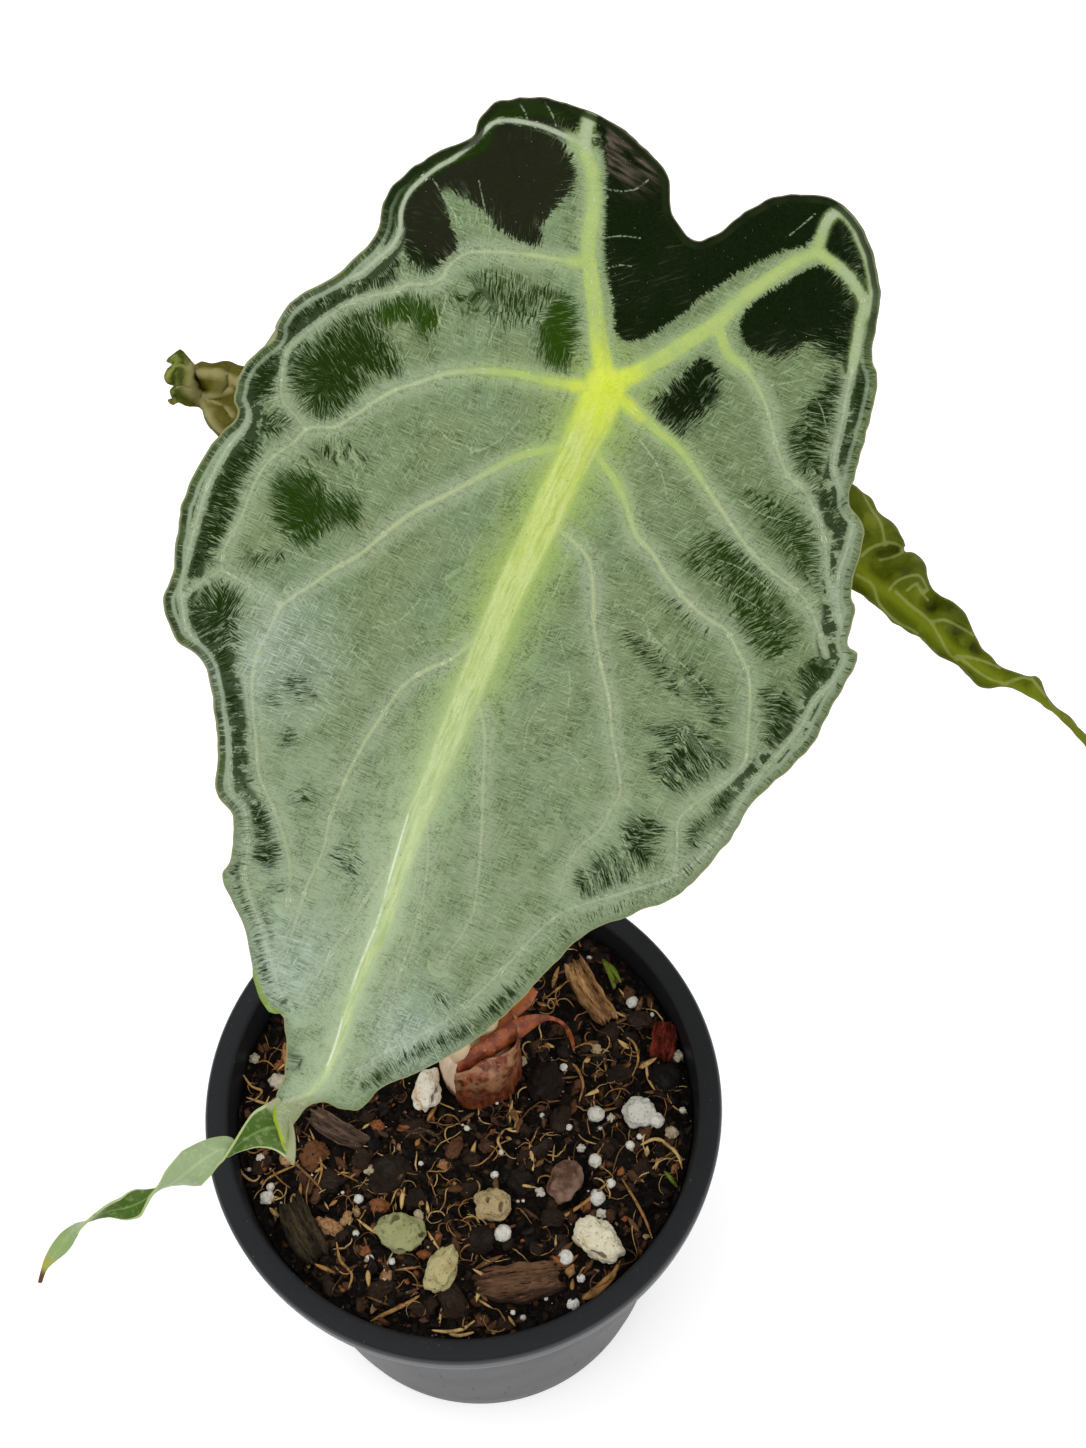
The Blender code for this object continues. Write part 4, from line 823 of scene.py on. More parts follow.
class Heap:
    """Many small bodies gathered into one mesh, each with a tone."""

    def __init__(self, name):
        self.name = name
        self.points = []
        self.faces = []
        self.tones = []

    def put(self, points, faces, tone):
        """Adds one body."""
        start = len(self.points)
        self.points += points
        self.faces += [[start + i for i in face] for face in faces]
        self.tones += [tone] * len(points)

    def place(self, finish, slot):
        """Makes the whole heap one piece of its own."""
        mesh = smooth_mesh(self.name, self.points, self.faces, tone=self.tones)
        place_piece(self.name, mesh, [finish])


def grid(columns, rows):
    """The faces between points that are laid out column by column."""
    starts = [i * (rows + 1) + j for i in range(columns) for j in range(rows)]
    return [[a, a + 1, a + rows + 2, a + rows + 1] for a in starts]


def rings(count, sides, first=0):
    """The faces between rings of points, each ring with as many points as there are sides."""
    starts = [(first + i * sides, k, (k + 1) % sides) for i in range(count) for k in range(sides)]
    return [[a + k, a + n, a + sides + n, a + sides + k] for a, k, n in starts]


def spun(x, y, turn):
    """A place turned about the origin."""
    return x * math.cos(turn) - y * math.sin(turn), x * math.sin(turn) + y * math.cos(turn)


def round_middle(reach, angle):
    """The place at a reach and an angle from the middle."""
    return reach * math.cos(angle), reach * math.sin(angle)


def ball(detail):
    """The points and faces of a unit icosphere."""
    shape = bmesh.new()
    bmesh.ops.create_icosphere(shape, subdivisions=detail, radius=1)
    points = [vert.co.copy() for vert in shape.verts]
    faces = [[vert.index for vert in face.verts] for face in shape.faces]
    shape.free()
    return points, faces


def sweep(path, radii, sides, flat=1.0):
    """The points and faces of a round or flattened strand along a path."""
    points = []
    last = len(path) - 1
    side = None
    for i, middle in enumerate(path):
        along = (path[min(i + 1, last)] - path[max(i - 1, 0)]).normalized()
        if side is None:
            side = along.cross(Vector((0, 0, 1)))
            if side.length < 0.01:
                side = Vector((1, 0, 0))
        side = (side - along * side.dot(along)).normalized()
        rise = side.cross(along)
        for k in range(sides):
            angle = 2 * math.pi * k / sides
            points.append(middle + (side * math.cos(angle) + rise * math.sin(angle) * flat) * radii[i])
    ends = [list(range(sides)), [last * sides + k for k in reversed(range(sides))]]
    return points, rings(last, sides) + ends


def tapered(line, radius, thinning, power):
    """Radii along a strand that thins towards both ends."""
    last = len(line) - 1
    return [radius * (1 - thinning * abs(2 * i / last - 1) ** power) for i in range(last + 1)]


# Leaf blades


class Blade:
    """A leaf blade: an outline and veins on the sheet, and the depths that shape it.

    Each leaf sets where its joint, edge, midrib and veins lie, the spacing of its mesh, and its relief:
    the depth of the grooves along its ribs, the height and length of the ripples of its margin, and the
    share by which cords stand up in its grooves.
    """

    windows = hairs = pits = ()
    margin = 13 * MM
    groove_reach = 2.6 * MM
    rim_turn = 0.9 * MM
    rim_reach = 1.6 * MM
    pucker = 0.22 * MM
    pucker_size = 7 * MM
    rim_thickness = 0.42 * MM
    body_thickness = 0.28 * MM
    hub_thickness = 0.8 * MM
    hub_reach = 5 * MM

    def __init__(self):
        self.unit = self.depth / SHEET_DISTANCE
        self.step = self.spacing / self.unit
        routes = [vein[2:] for vein in self.veins]
        self.outline = [ragged(p) for p in smooth_line(self.edge, self.step * 0.8, closed=True)]
        self.lines = [smooth_line(line, self.step) for line in (self.midrib, *routes, *self.hairs)]
        fine = 1.0
        self.near_edge = Nearest([[ragged(p) for p in smooth_line(self.edge, fine, closed=True)]])
        self.near_midrib = Nearest([smooth_line(self.midrib, fine)])
        self.near_veins = Nearest([smooth_line(line, fine) for line in routes])
        self.near_hairs = Nearest([smooth_line(line, fine) for line in self.hairs or [self.edge]])
        self.panes = [Pane(*window) for window in self.windows]
        self.trees = {}

    def place(self, x, y):
        """Where a sheet point lies: right and up of the joint, in metres on the sheet at the joint."""
        return (x - self.joint[0]) * self.unit, (self.joint[1] - y) * self.unit

    def distances(self, x, y):
        """In metres: to the edge and along it, to a vein and its half width there, and so for the midrib."""
        edge, run, _ = self.near_edge.find(x, y)
        vein, at, number = self.near_veins.find(x, y)
        start, end = self.veins[number][:2]
        half = (start + (end - start) * at / self.near_veins.lengths[number]) * VEIN_SHARE * MM
        middle, low, _ = self.near_midrib.find(x, y)
        start, end = self.midrib_half
        width = (start + (end - start) * (low / self.near_midrib.lengths[0]) ** 1.5) * MM
        return edge * self.unit, run * self.unit, vein * self.unit, half, middle * self.unit, width

    def pit(self, x, y):
        """Depth added by the hollows and bulges of a creased blade."""
        return sum(deep * fade(math.hypot(x - u, y - v), reach) for u, v, reach, deep in self.pits) * MM

    def relief(self, x, y):
        """Depth added by sunken veins with a cord in each, a turned-back rim and a rippled margin."""
        edge, run, vein, half, middle, width = self.distances(x, y)
        rib = min(vein, middle * 0.6)
        margin = max(0, 1 - edge / self.margin) ** 1.5
        phase = run * 2 * math.pi / self.wave
        cords = 0.55 * half * fade(vein, half * 1.1) + 0.5 * width * fade(middle, width * 0.9)
        pucker = noise.fractal(Vector((x, y, 0)) * (self.unit / self.pucker_size), 0.9, 2.0, 2)
        return (
            self.groove * fade(rib, self.groove_reach)
            + self.ripple * margin * math.sin(phase + 1.4 * math.sin(phase * 0.37))
            + self.rim_turn * fade(edge, self.rim_reach)
            - self.cord * cords
            + self.pucker * pucker * (1 - fade(rib, 3 * MM))
            + self.pit(x, y)
        )

    def shape(self, x, y):
        """The depth of the blade at a sheet point. Each leaf has its own."""
        raise NotImplementedError

    def point(self, x, y):
        """The point of the blade's seen face at a sheet point."""
        return seen(x, y, self.shape(x, y))

    def normal(self, x, y):
        """The direction out of the seen face, towards the eye."""
        tip = 8
        along = self.point(x + tip, y) - self.point(x - tip, y)
        rise = self.point(x, y - tip) - self.point(x, y + tip)
        return along.cross(rise).normalized()

    def thickness(self, x, y):
        """The blade's thickness, which grows to its ribs and to the joint."""
        joint = (Vector((x, y)) - Vector(self.joint)).length * self.unit
        edge, _, vein, _, middle, _ = self.distances(x, y)
        taper = max(0.15, 1 - self.near_midrib.find(x, y)[1] * self.unit / (150 * MM))
        ribs = 2.4 * taper * fade(middle, 2.6 * MM) + 0.8 * fade(vein, 1.3 * MM)
        return (
            self.rim_thickness
            + self.body_thickness * ease(edge, 0, 2 * MM)
            + ribs * MM * ease(edge, 0, 1.8 * MM)
            + self.hub_thickness * fade(joint, self.hub_reach)
        )

    def sheet_points(self):
        """The outline, the veins and a field of points between them, with the edges that join them."""
        points = list(self.outline)
        edges = [(i, (i + 1) % len(points)) for i in range(len(points))]
        for line in self.lines:
            inner = [p for p in line if self.near_edge.find(p.x, p.y)[0] > 0.45 * self.step]
            start = len(points)
            points += inner
            edges += [(start + i, start + i + 1) for i in range(len(inner) - 1)]
        taken = KDTree(len(points))
        for i, point in enumerate(points):
            taken.insert((point.x, point.y, 0), i)
        taken.balance()
        low, high = box_of(self.outline)
        coarse = self.outline[::4]
        row = 0
        y = low.y
        while y < high.y:
            x = low.x + (row % 2) * self.step / 2
            while x < high.x:
                spot = Vector((x, y))
                if taken.find((x, y, 0))[2] > 0.62 * self.step:
                    deep = self.near_edge.find(x, y)[0] > 3 * self.step
                    if inside(spot, coarse if deep else self.outline):
                        points.append(spot)
                x += self.step
            y += self.step * 0.87
            row += 1
        return points, edges

    def window(self, x, y):
        """How far inside a dark window a sheet point is in mm, how veiled that window is and how vivid."""
        best = (-9.0, 0.0, 0.0)
        for pane in self.panes:
            if pane.close_to(x, y):
                best = max(best, (pane.depth(x, y) * self.unit / MM, pane.veil, pane.vivid))
        return best

    def paint(self, mesh, spots, faces):
        """Stores on the mesh what its material needs to know of each point and each corner."""
        names = ("edge", "vein", "mid", "window", "veil", "vivid", "hub", "hair", "pit")
        rows = {name: [] for name in names}
        sheet = []
        for p in spots:
            edge, _, vein, half, middle, width = self.distances(p.x, p.y)
            side = 1 if p.x > self.near_midrib.spot(p.x, p.y).x else -1
            values = (
                edge / MM,
                (vein - half) / MM,
                (middle - width) / MM,
                *self.window(p.x, p.y),
                (p - Vector(self.joint)).length * self.unit / MM,
                self.near_hairs.find(p.x, p.y)[0] * self.unit / MM,
                self.pit(p.x, p.y) / MM,
            )
            for name, value in zip(names, values):
                rows[name].append(value)
            right, up = self.place(p.x, p.y)
            sheet.append((right / MM, up / MM, side * min(9.0, middle / MM)))
        for name in names:
            store(mesh, name, rows[name])
        store(mesh, "sheet", sheet, "FLOAT_VECTOR")
        fur = []
        for face in faces:
            middle = sum((spots[i] for i in face), Vector((0, 0))) / len(face)
            number = self.near_veins.find(middle.x, middle.y)[2]
            tree = self.single(number)
            for i in face:
                distance, run, _ = tree.find(spots[i].x, spots[i].y)
                fur.append((run * self.unit / MM, distance * self.unit / MM, number * 7.3))
        store(mesh, "fur", fur, "FLOAT_VECTOR", "CORNER")

    def single(self, number):
        """The search tree of one vein alone."""
        if number not in self.trees:
            line = [mark[0] for mark in self.near_veins.marks if mark[2] == number]
            self.trees[number] = Nearest([line])
        return self.trees[number]

    def build(self, name, finishes, node, slot, to_eye=False):
        """The blade as a closed piece: its seen face, and a back face with the ribs raised on it."""
        points, edges = self.sheet_points()
        spots, _, faces, *_ = delaunay_2d_cdt(points, edges, [], 1, 0.01)
        corners = [self.point(p.x, p.y) for p in spots]
        a, b, c = (corners[i] for i in faces[0][:3])
        if (b - a).cross(c - a).dot(FORWARD) > 0:
            faces = [list(reversed(face)) for face in faces]
        mesh = smooth_mesh(name, corners, faces)
        self.paint(mesh, spots, faces)
        piece = place_piece(name, mesh, finishes, node)
        group = piece.vertex_groups.new(name="thickness")
        amounts = [self.thickness(p.x, p.y) for p in spots]
        thickest = max(amounts)
        for i, amount in enumerate(amounts):
            group.add([i], amount / thickest, "REPLACE")
        thicken(piece, thickest, offset=1 if to_eye else -1, vertex_group="thickness", material_offset=1)


class MainBlade(Blade):
    """The big blade: it dips from its joint to its tip, and its sides fall back."""

    joint, depth, edge = MAIN_JOINT, MAIN_DEPTH, MAIN_EDGE
    midrib, midrib_half, veins = MAIN_MIDRIB, (3.0, 0.5), MAIN_VEINS
    windows, hairs = MAIN_WINDOWS, MAIN_HAIRS
    spacing, cord = 0.95 * MM, 1.0
    groove, ripple, wave = 0.9 * MM, 1.7 * MM, 27 * MM
    slope = 0.34
    tip_bend = 1.05
    lobe_bend = 6.0
    side_radius = 0.24
    channel = 1.6 * MM
    channel_reach = 12 * MM

    def shape(self, x, y):
        right, up = self.place(x, y)
        along = up * math.cos(MAIN_LEAN) + right * math.sin(MAIN_LEAN)
        across = right * math.cos(MAIN_LEAN) - up * math.sin(MAIN_LEAN)
        down = max(0, -along)
        lobe = max(0, along)
        dip = self.slope * down + self.tip_bend * down ** 2 - self.slope * lobe + self.lobe_bend * lobe ** 2
        sides = across ** 2 / self.side_radius
        channel = -self.channel * (1 - fade(across, self.channel_reach))
        return self.depth + dip + sides + channel + self.relief(x, y)


class LeftBlade(Blade):
    """A blade that hangs away on the far side, with one lobe curled up at its end."""

    joint, depth, edge = LEFT_JOINT, LEFT_DEPTH, LEFT_EDGE
    midrib, midrib_half, veins = LEFT_MIDRIB, (1.6, 0.4), LEFT_VEINS
    pits = LEFT_PITS
    spacing, cord = 0.8 * MM, 1.0
    groove, ripple, wave = -0.5 * MM, 1.3 * MM, 11 * MM
    hang = 2.1
    lobe_curl = 0.30
    roll = 2.2 * MM
    roll_size = 5.2 * MM

    def shape(self, x, y):
        right, up = self.place(x, y)
        down = max(0, -up)
        hang = self.hang * down ** 2 / (down + 7 * MM)
        curl = self.lobe_curl * max(0, -right - 8 * MM)
        roll = self.roll * math.sin(right / self.roll_size) * min(1, max(0, -right / (20 * MM)))
        return self.depth + hang + curl + roll + self.relief(x, y)


class RightBlade(Blade):
    """A narrow blade with rolled sides, which reaches out to the right and runs into a long tail."""

    joint, depth, edge = RIGHT_JOINT, RIGHT_DEPTH, RIGHT_EDGE
    midrib, midrib_half, veins = RIGHT_MIDRIB, (0.9, 0.3), RIGHT_VEINS
    pits = RIGHT_PITS
    spacing, cord = 0.75 * MM, 0.5
    groove, ripple, wave = 0.7 * MM, 0.8 * MM, 12 * MM
    slope = 0.22
    bend = 1.1
    roll_size = 26 * MM
    roll_limit = 8 * MM
    quilt = 1.1 * MM
    quilt_size = 10.5 * MM

    def shape(self, x, y):
        reach = max(0, self.place(x, y)[0])
        middle, run = (c * self.unit for c in self.near_midrib.find(x, y)[:2])
        fall = self.slope * reach + self.bend * reach ** 2
        roll = min(middle ** 2 / self.roll_size, self.roll_limit)
        quilt = -self.quilt * math.sin(run * 2 * math.pi / self.quilt_size) * (1 - fade(middle, 3 * MM))
        return self.depth + fall + roll + quilt + self.relief(x, y)


# Ground


def pot_inside(z):
    """The radius of the pot's inner wall at a height."""
    low = POT_BASE_RADIUS - WALL
    high = RIM_RADIUS - RIM_WIDTH
    return low + (high - low) * z / POT_HEIGHT


def ground(x, y):
    """The height of the soil's rough top, which dips round the corm and at the wall."""
    corm = on_level(*CORM_SPOT, SOIL_TOP)
    near = fade(math.hypot(x - corm.x, y - corm.y), 17 * MM)
    broad = noise.fractal(Vector((x, y, 0)) / (14 * MM), 0.8, 2.1, 3)
    fine = noise.fractal(Vector((x, y, 7 * MM)) / (3.2 * MM), 0.7, 2.2, 3)
    edge = math.hypot(x, y) / pot_inside(SOIL_TOP)
    rough = 2.4 * MM * broad + 1.5 * MM * fine
    return SOIL_TOP + rough * (1 - 0.8 * near) - 1.5 * MM * near - 0.6 * MM * edge ** 6


def resting(x, y, lift=0.0):
    """The point on the soil at a place in the pot, raised by a lift."""
    return Vector((x, y, ground(x, y) + lift))


def landed(x, y, lift=0.0):
    """The point on the soil that the sheet shows at (x, y), raised by a lift."""
    flat = on_level(x, y, SOIL_TOP)
    flat = on_level(x, y, ground(flat.x, flat.y))
    return resting(flat.x, flat.y, lift)


def corm_middle():
    """The corm's middle line, at floor level."""
    corm = on_level(*CORM_SPOT, SOIL_TOP)
    corm.z = 0
    return corm


def free_spots(draw, count, margin):
    """Random places on the soil, clear of the wall, the corm and the stones."""
    corm = corm_middle().to_2d()
    taken = [(corm, CORM_RADIUS + 2.5 * MM)]
    for _, spot, length, width, _, _ in STONES + CHIPS:
        taken.append((on_level(*spot, SOIL_TOP).to_2d(), 0.30 * (length + width) * MM))
    spots = []
    while len(spots) < count:
        angle = draw.uniform(0, 2 * math.pi)
        reach = (pot_inside(SOIL_TOP) - margin) * math.sqrt(draw.random())
        spot = Vector(round_middle(reach, angle))
        if all((spot - place).length > radius for place, radius in taken):
            spots.append(spot)
    return spots


# Settings


def tint(name, description, default):
    """A colour among the settings."""
    return FloatVectorProperty(
        name=name, description=description, subtype="COLOR", size=3, default=default, min=0, max=1
    )


class PotSettings(bpy.types.PropertyGroup):
    """The pot's own settings."""

    sides: IntProperty(
        name="Sides", description="Segments round the pot", default=200, min=48, max=512
    )
    plastic: tint("Plastic", "Colour of the moulded plastic", srgb(31, 32, 34))
    roughness: FloatProperty(
        name="Roughness", description="How dull the plastic is", subtype="FACTOR", default=0.46,
        min=0, max=1,
    )


class SoilSettings(bpy.types.PropertyGroup):
    """Settings of the bark mix and of what lies on it."""

    damp: tint("Damp bark", "Colour of the damp bark mix", srgb(26, 17, 10))
    crumbs: IntProperty(
        name="Crumbs", description="Loose crumbs of bark", default=1500, min=0, max=4000
    )
    fibres: IntProperty(name="Fibres", description="Loose thin fibres", default=360, min=0, max=2000)
    splinters: IntProperty(
        name="Splinters", description="Loose flat splinters", default=230, min=0, max=1000
    )
    beads: IntProperty(
        name="Beads", description="Small white beads of perlite", default=70, min=0, max=800
    )
    fibre_radius: FloatProperty(
        name="Fibre radius", description="Radius of a thin fibre", subtype="DISTANCE", unit="LENGTH",
        default=0.16 * MM, min=0.05 * MM, max=1 * MM,
    )


class LeafSettings(bpy.types.PropertyGroup):
    """Colours of the leaves and stalks."""

    silver: tint("Silver", "Silver-green of the main leaf", srgb(116, 132, 102))
    window: tint("Window", "Dark green of the windows between the veins", srgb(12, 22, 4))
    rib: tint("Rib", "Yellow-green of the midrib", srgb(182, 198, 94))
    hub: tint("Hub", "Yellow of the joint with the stalk", srgb(200, 214, 62))
    olive: tint("Olive", "Colour of the left leaf", srgb(92, 86, 30))
    bright: tint("Bright", "Colour of the right leaf", srgb(70, 80, 4))


class StageSettings(bpy.types.PropertyGroup):
    """Settings of the floor and the lights."""

    floor: tint("Floor", "Colour of the floor", (0.80, 0.80, 0.80))
    key: FloatProperty(
        name="Key light", description="Power of the large soft light", unit="POWER", default=11.0, min=0
    )
    sky: FloatProperty(name="Sky", description="Strength of the even light", default=0.66, min=0)


class PlantSettings(bpy.types.PropertyGroup):
    """All settings of the potted alocasia."""

    pot: PointerProperty(type=PotSettings, name="Pot", description="Settings of the pot")
    soil: PointerProperty(type=SoilSettings, name="Soil", description="Settings of the soil")
    leaf: PointerProperty(type=LeafSettings, name="Leaf", description="Settings of the leaves")
    stage: PointerProperty(type=StageSettings, name="Stage", description="Settings of the stage")


# Finishes


def pot_finish(settings):
    """Charcoal moulded plastic: a dull skin with faint scuffs, specks of dust and a painted highlight along
    the rim's outer edge.
    """
    finish = Finish("pot_plastic", settings.roughness, 0.12)
    place = finish.place()
    cloud = place.noise(45, 4)
    scratch = place.streaks((900, 900, 90), 2).step(0.66, 0.74)
    grain = place.noise(2600, 2)
    dust = place.noise(900, 2, 0.7).step(0.70, 0.78)
    plastic = tuple(settings.plastic)
    lip_foot = POT_HEIGHT - RIM_DROP
    wall = place.part("Z").step(lip_foot + 0.5 * MM, lip_foot - 1 * MM)
    lip = place.stretch((1, 1, 0)).measure("LENGTH").step(RIM_RADIUS - 0.9 * MM, RIM_RADIUS - 0.2 * MM)
    colour = finish.coats(
        finish.mix(cloud, times(plastic, 0.72), plastic),
        (scratch * 0.35, times(plastic, 1.6)),
        (dust * 0.4, srgb(112, 110, 104)),
        (wall, times(plastic, 0.62)),
        # painted highlight: a lighter grey band along the rim's outer edge
        (lip * 0.6, srgb(84, 86, 88)),
    )
    roughness = settings.roughness - 0.10 * cloud + 0.12 * scratch
    return finish.done(colour, roughness, grain * 0.5 + scratch * 0.4, 0.12 * MM, 0.35)


def soil_finish(settings):
    """Damp bark mix: near black, with brown grains, pale specks and a wet gleam here and there."""
    finish = Finish("bark_mix", 0.8, 0.14)
    place = finish.place()
    grain = place.noise(700, 5, 0.7)
    fleck = place.warp(400, 0.002).cells(620)
    cloud = place.noise(130, 3)
    damp = tuple(settings.damp)
    colour = finish.coats(
        finish.mix(grain.step(0.40, 0.66), times(damp, 0.12), damp),
        (place.noise(420, 3).step(0.58, 0.70), srgb(78, 52, 30)),
        (place.noise(1100, 2).step(0.68, 0.76) * 0.7, srgb(150, 112, 72)),
    )
    return finish.done(colour, 0.92 - 0.5 * cloud.step(0.50, 0.66), grain + (1 - fleck) * 0.5, 1.2 * MM, 0.9)


def crumb_finish():
    """Bark crumbs and lumps: the tone runs from black through dark brown and orange brown to tan."""
    finish = Finish("crumbs", 0.75, 0.18)
    place = finish.place()
    tone, = finish.numbers("tone")
    grain = place.stretch((1, 1, 2.4)).noise(900, 4, 0.7)
    cloud = place.noise(260, 3)
    colour = finish.coats(
        finish.mix(tone.step(0.0, 0.30), srgb(8, 6, 4), srgb(46, 31, 20)),
        (tone.step(0.30, 0.62), srgb(92, 60, 36)),
        (tone.step(0.62, 0.76), srgb(144, 86, 48)),
        (tone.step(0.78, 0.92), srgb(176, 140, 98)),
        (grain.step(0.55, 0.30) * 0.65, srgb(14, 10, 8)),
        # pale flecks along the grain: a painted highlight
        (grain.step(0.64, 0.82) * 0.3, srgb(150, 116, 78)),
    )
    return finish.done(colour, 0.85 - 0.60 * cloud.step(0.50, 0.62), grain, 0.7 * MM, 0.9)


def fibre_finish():
    """Roots, fibres and splinters: the tone runs from dark brown through orange to straw."""
    finish = Finish("fibres", 0.6)
    place = finish.place()
    tone, = finish.numbers("tone")
    cloud = place.noise(500, 3)
    streak = place.noise(1600, 2)
    colour = finish.coats(
        finish.mix(tone.step(0.2, 0.55), srgb(46, 32, 25), srgb(104, 72, 42)),
        (tone.step(0.55, 0.78), srgb(158, 114, 62)),
        (tone.step(0.78, 0.92), srgb(198, 166, 106)),
        (tone.step(1.0, 1.05), srgb(98, 116, 30)),
        (cloud.step(0.42, 0.68) * 0.6, srgb(70, 46, 28)),
        (streak.step(0.6, 0.75) * 0.4, srgb(212, 190, 150)),
    )
    return finish.done(colour, 0.55, streak, 0.2 * MM, 0.6)


def bead_finish():
    """Perlite: chalk white where the tone is high, cream and dusty where it is low."""
    finish = Finish("perlite", 0.8)
    place = finish.place()
    tone, = finish.numbers("tone")
    pits = place.cells(1500)
    cloud = place.noise(420, 3)
    colour = finish.coats(
        finish.mix(tone.step(0.35, 0.9), srgb(158, 138, 102), srgb(206, 204, 196)),
        (cloud.step(0.52, 0.78) * 0.55, srgb(128, 104, 74)),
        (pits.step(0.26, 0.10) * 0.35, srgb(96, 84, 70)),
    )
    return finish.done(colour, 0.78, pits + cloud, 0.35 * MM, 0.6)


def pumice_finish(name, pale, stain):
    """Pumice: a pale porous stone with dark pores and brown stains."""
    finish = Finish(name, 0.85)
    place = finish.place()
    pore = place.warp(500, 0.0012).cells(900)
    small = place.cells(2400)
    cloud = place.noise(230, 4)
    hollow, = finish.numbers("hollow")
    colour = finish.coats(
        finish.mix(cloud, pale, times(pale, 0.8)),
        (cloud.step(0.52, 0.72) * 0.8, stain),
        (pore.step(0.16, 0.05) * 0.4, srgb(84, 62, 38)),
        (hollow * 0.75, srgb(58, 42, 26)),
    )
    return finish.done(colour, 0.85, pore.step(0.0, 0.35) + small * 0.4 + cloud, 0.5 * MM, 0.8)


def pebble_finish():
    """A smooth mauve-brown pebble."""
    finish = Finish("pebble", 0.5)
    place = finish.place()
    cloud = place.noise(300, 4)
    fine = place.noise(1500, 3)
    colour = finish.coats(
        finish.mix(cloud.step(0.35, 0.7), srgb(78, 54, 42), srgb(132, 104, 88)),
        (fine.step(0.6, 0.75) * 0.4, srgb(170, 144, 124)),
    )
    return finish.done(colour, 0.58, fine, 0.2 * MM, 0.5)


def bark_finish(name, dark, light, turn):
    """Wood and bark with its grain along the chip, and dark cracks in it."""
    finish = Finish(name, 0.8)
    place = finish.place().warp(300, 0.0010)
    grain = place.streaks((150, 1500, 900), 4, 0.6, turn=-turn)
    broad = place.streaks((60, 420, 420), 3, turn=-turn)
    cracks = grain.step(0.44, 0.34)
    colour = finish.coats(
        finish.mix(broad.step(0.35, 0.68), dark, light),
        (cracks * 0.85, times(dark, 0.16)),
        (grain.step(0.60, 0.75) * 0.45, times(light, 1.9)),
    )
    return finish.done(colour, 0.75, grain, 0.8 * MM, 0.9)


def corm_finish():
    """The corm's fleshy skin: pale pink-beige, with fine upright fibres and brown scars."""
    finish = Finish("corm_skin", 0.5)
    place = finish.place()
    fibres = place.streaks((1500, 1500, 130), 3)
    blots = place.noise(170, 3)
    low, = finish.numbers("low")
    colour = finish.coats(
        finish.mix(fibres, srgb(250, 230, 202), srgb(226, 194, 162)),
        (blots.step(0.60, 0.74) * 0.5, srgb(160, 100, 62)),
        (low.step(0.30, 0.0) * 0.85, srgb(104, 54, 34)),
    )
    return finish.done(colour, 0.45, fibres, 0.3 * MM, 0.7)


def sheath_finish():
    """The dry leaf base: red-brown, streaked lengthwise, wet and dark near the soil."""
    finish = Finish("dry_sheath", 0.4, 0.4)
    place = finish.place()
    tone, = finish.numbers("tone")
    streaks = place.streaks((800, 800, 120), 3)
    cloud = place.noise(240, 4)
    blotch = place.noise(330, 4)
    fine = place.noise(1300, 3)
    body = finish.coats(
        finish.mix(streaks.step(0.35, 0.65), srgb(84, 34, 18), srgb(134, 64, 34)),
        (tone.step(0.08, 0.42) * blotch.step(0.40, 0.58) * 0.75, srgb(172, 128, 92)),
    )
    arm = finish.coats(
        finish.mix(blotch.step(0.40, 0.62), srgb(110, 44, 24), srgb(158, 80, 40)),
        (tone.step(0.93, 0.98) * 0.6, srgb(176, 98, 48)),
    )
    colour = finish.coats(
        finish.mix(tone.step(0.6, 0.7), body, arm),
        # small pale flecks: a painted highlight
        (fine.step(0.62, 0.74) * 0.5, srgb(224, 166, 126)),
        (cloud.step(0.58, 0.70) * 0.7, srgb(62, 24, 12)),
    )
    return finish.done(colour, 0.25 + 0.3 * cloud, streaks + cloud + fine * 0.4, 0.5 * MM, 0.7)


def stalk_finish():
    """A leaf stalk: red-brown flecked at its foot, passing to smooth pale green."""
    finish = Finish("stalk_green", 0.42)
    place = finish.place()
    rise, = finish.numbers("rise")
    flecks = place.streaks((700, 700, 170), 3)
    streaks = place.streaks((1600, 1600, 60), 2)
    colour = finish.coats(
        finish.mix(streaks, srgb(116, 132, 62), srgb(152, 168, 88)),
        (flecks.step(0.56, 0.66) * rise.step(0.75, 0.15), srgb(92, 52, 34)),
        (rise.step(0.16, 0.06), srgb(218, 192, 156)),
    )
    return finish.done(colour, 0.42, streaks, 0.12 * MM, 0.5)


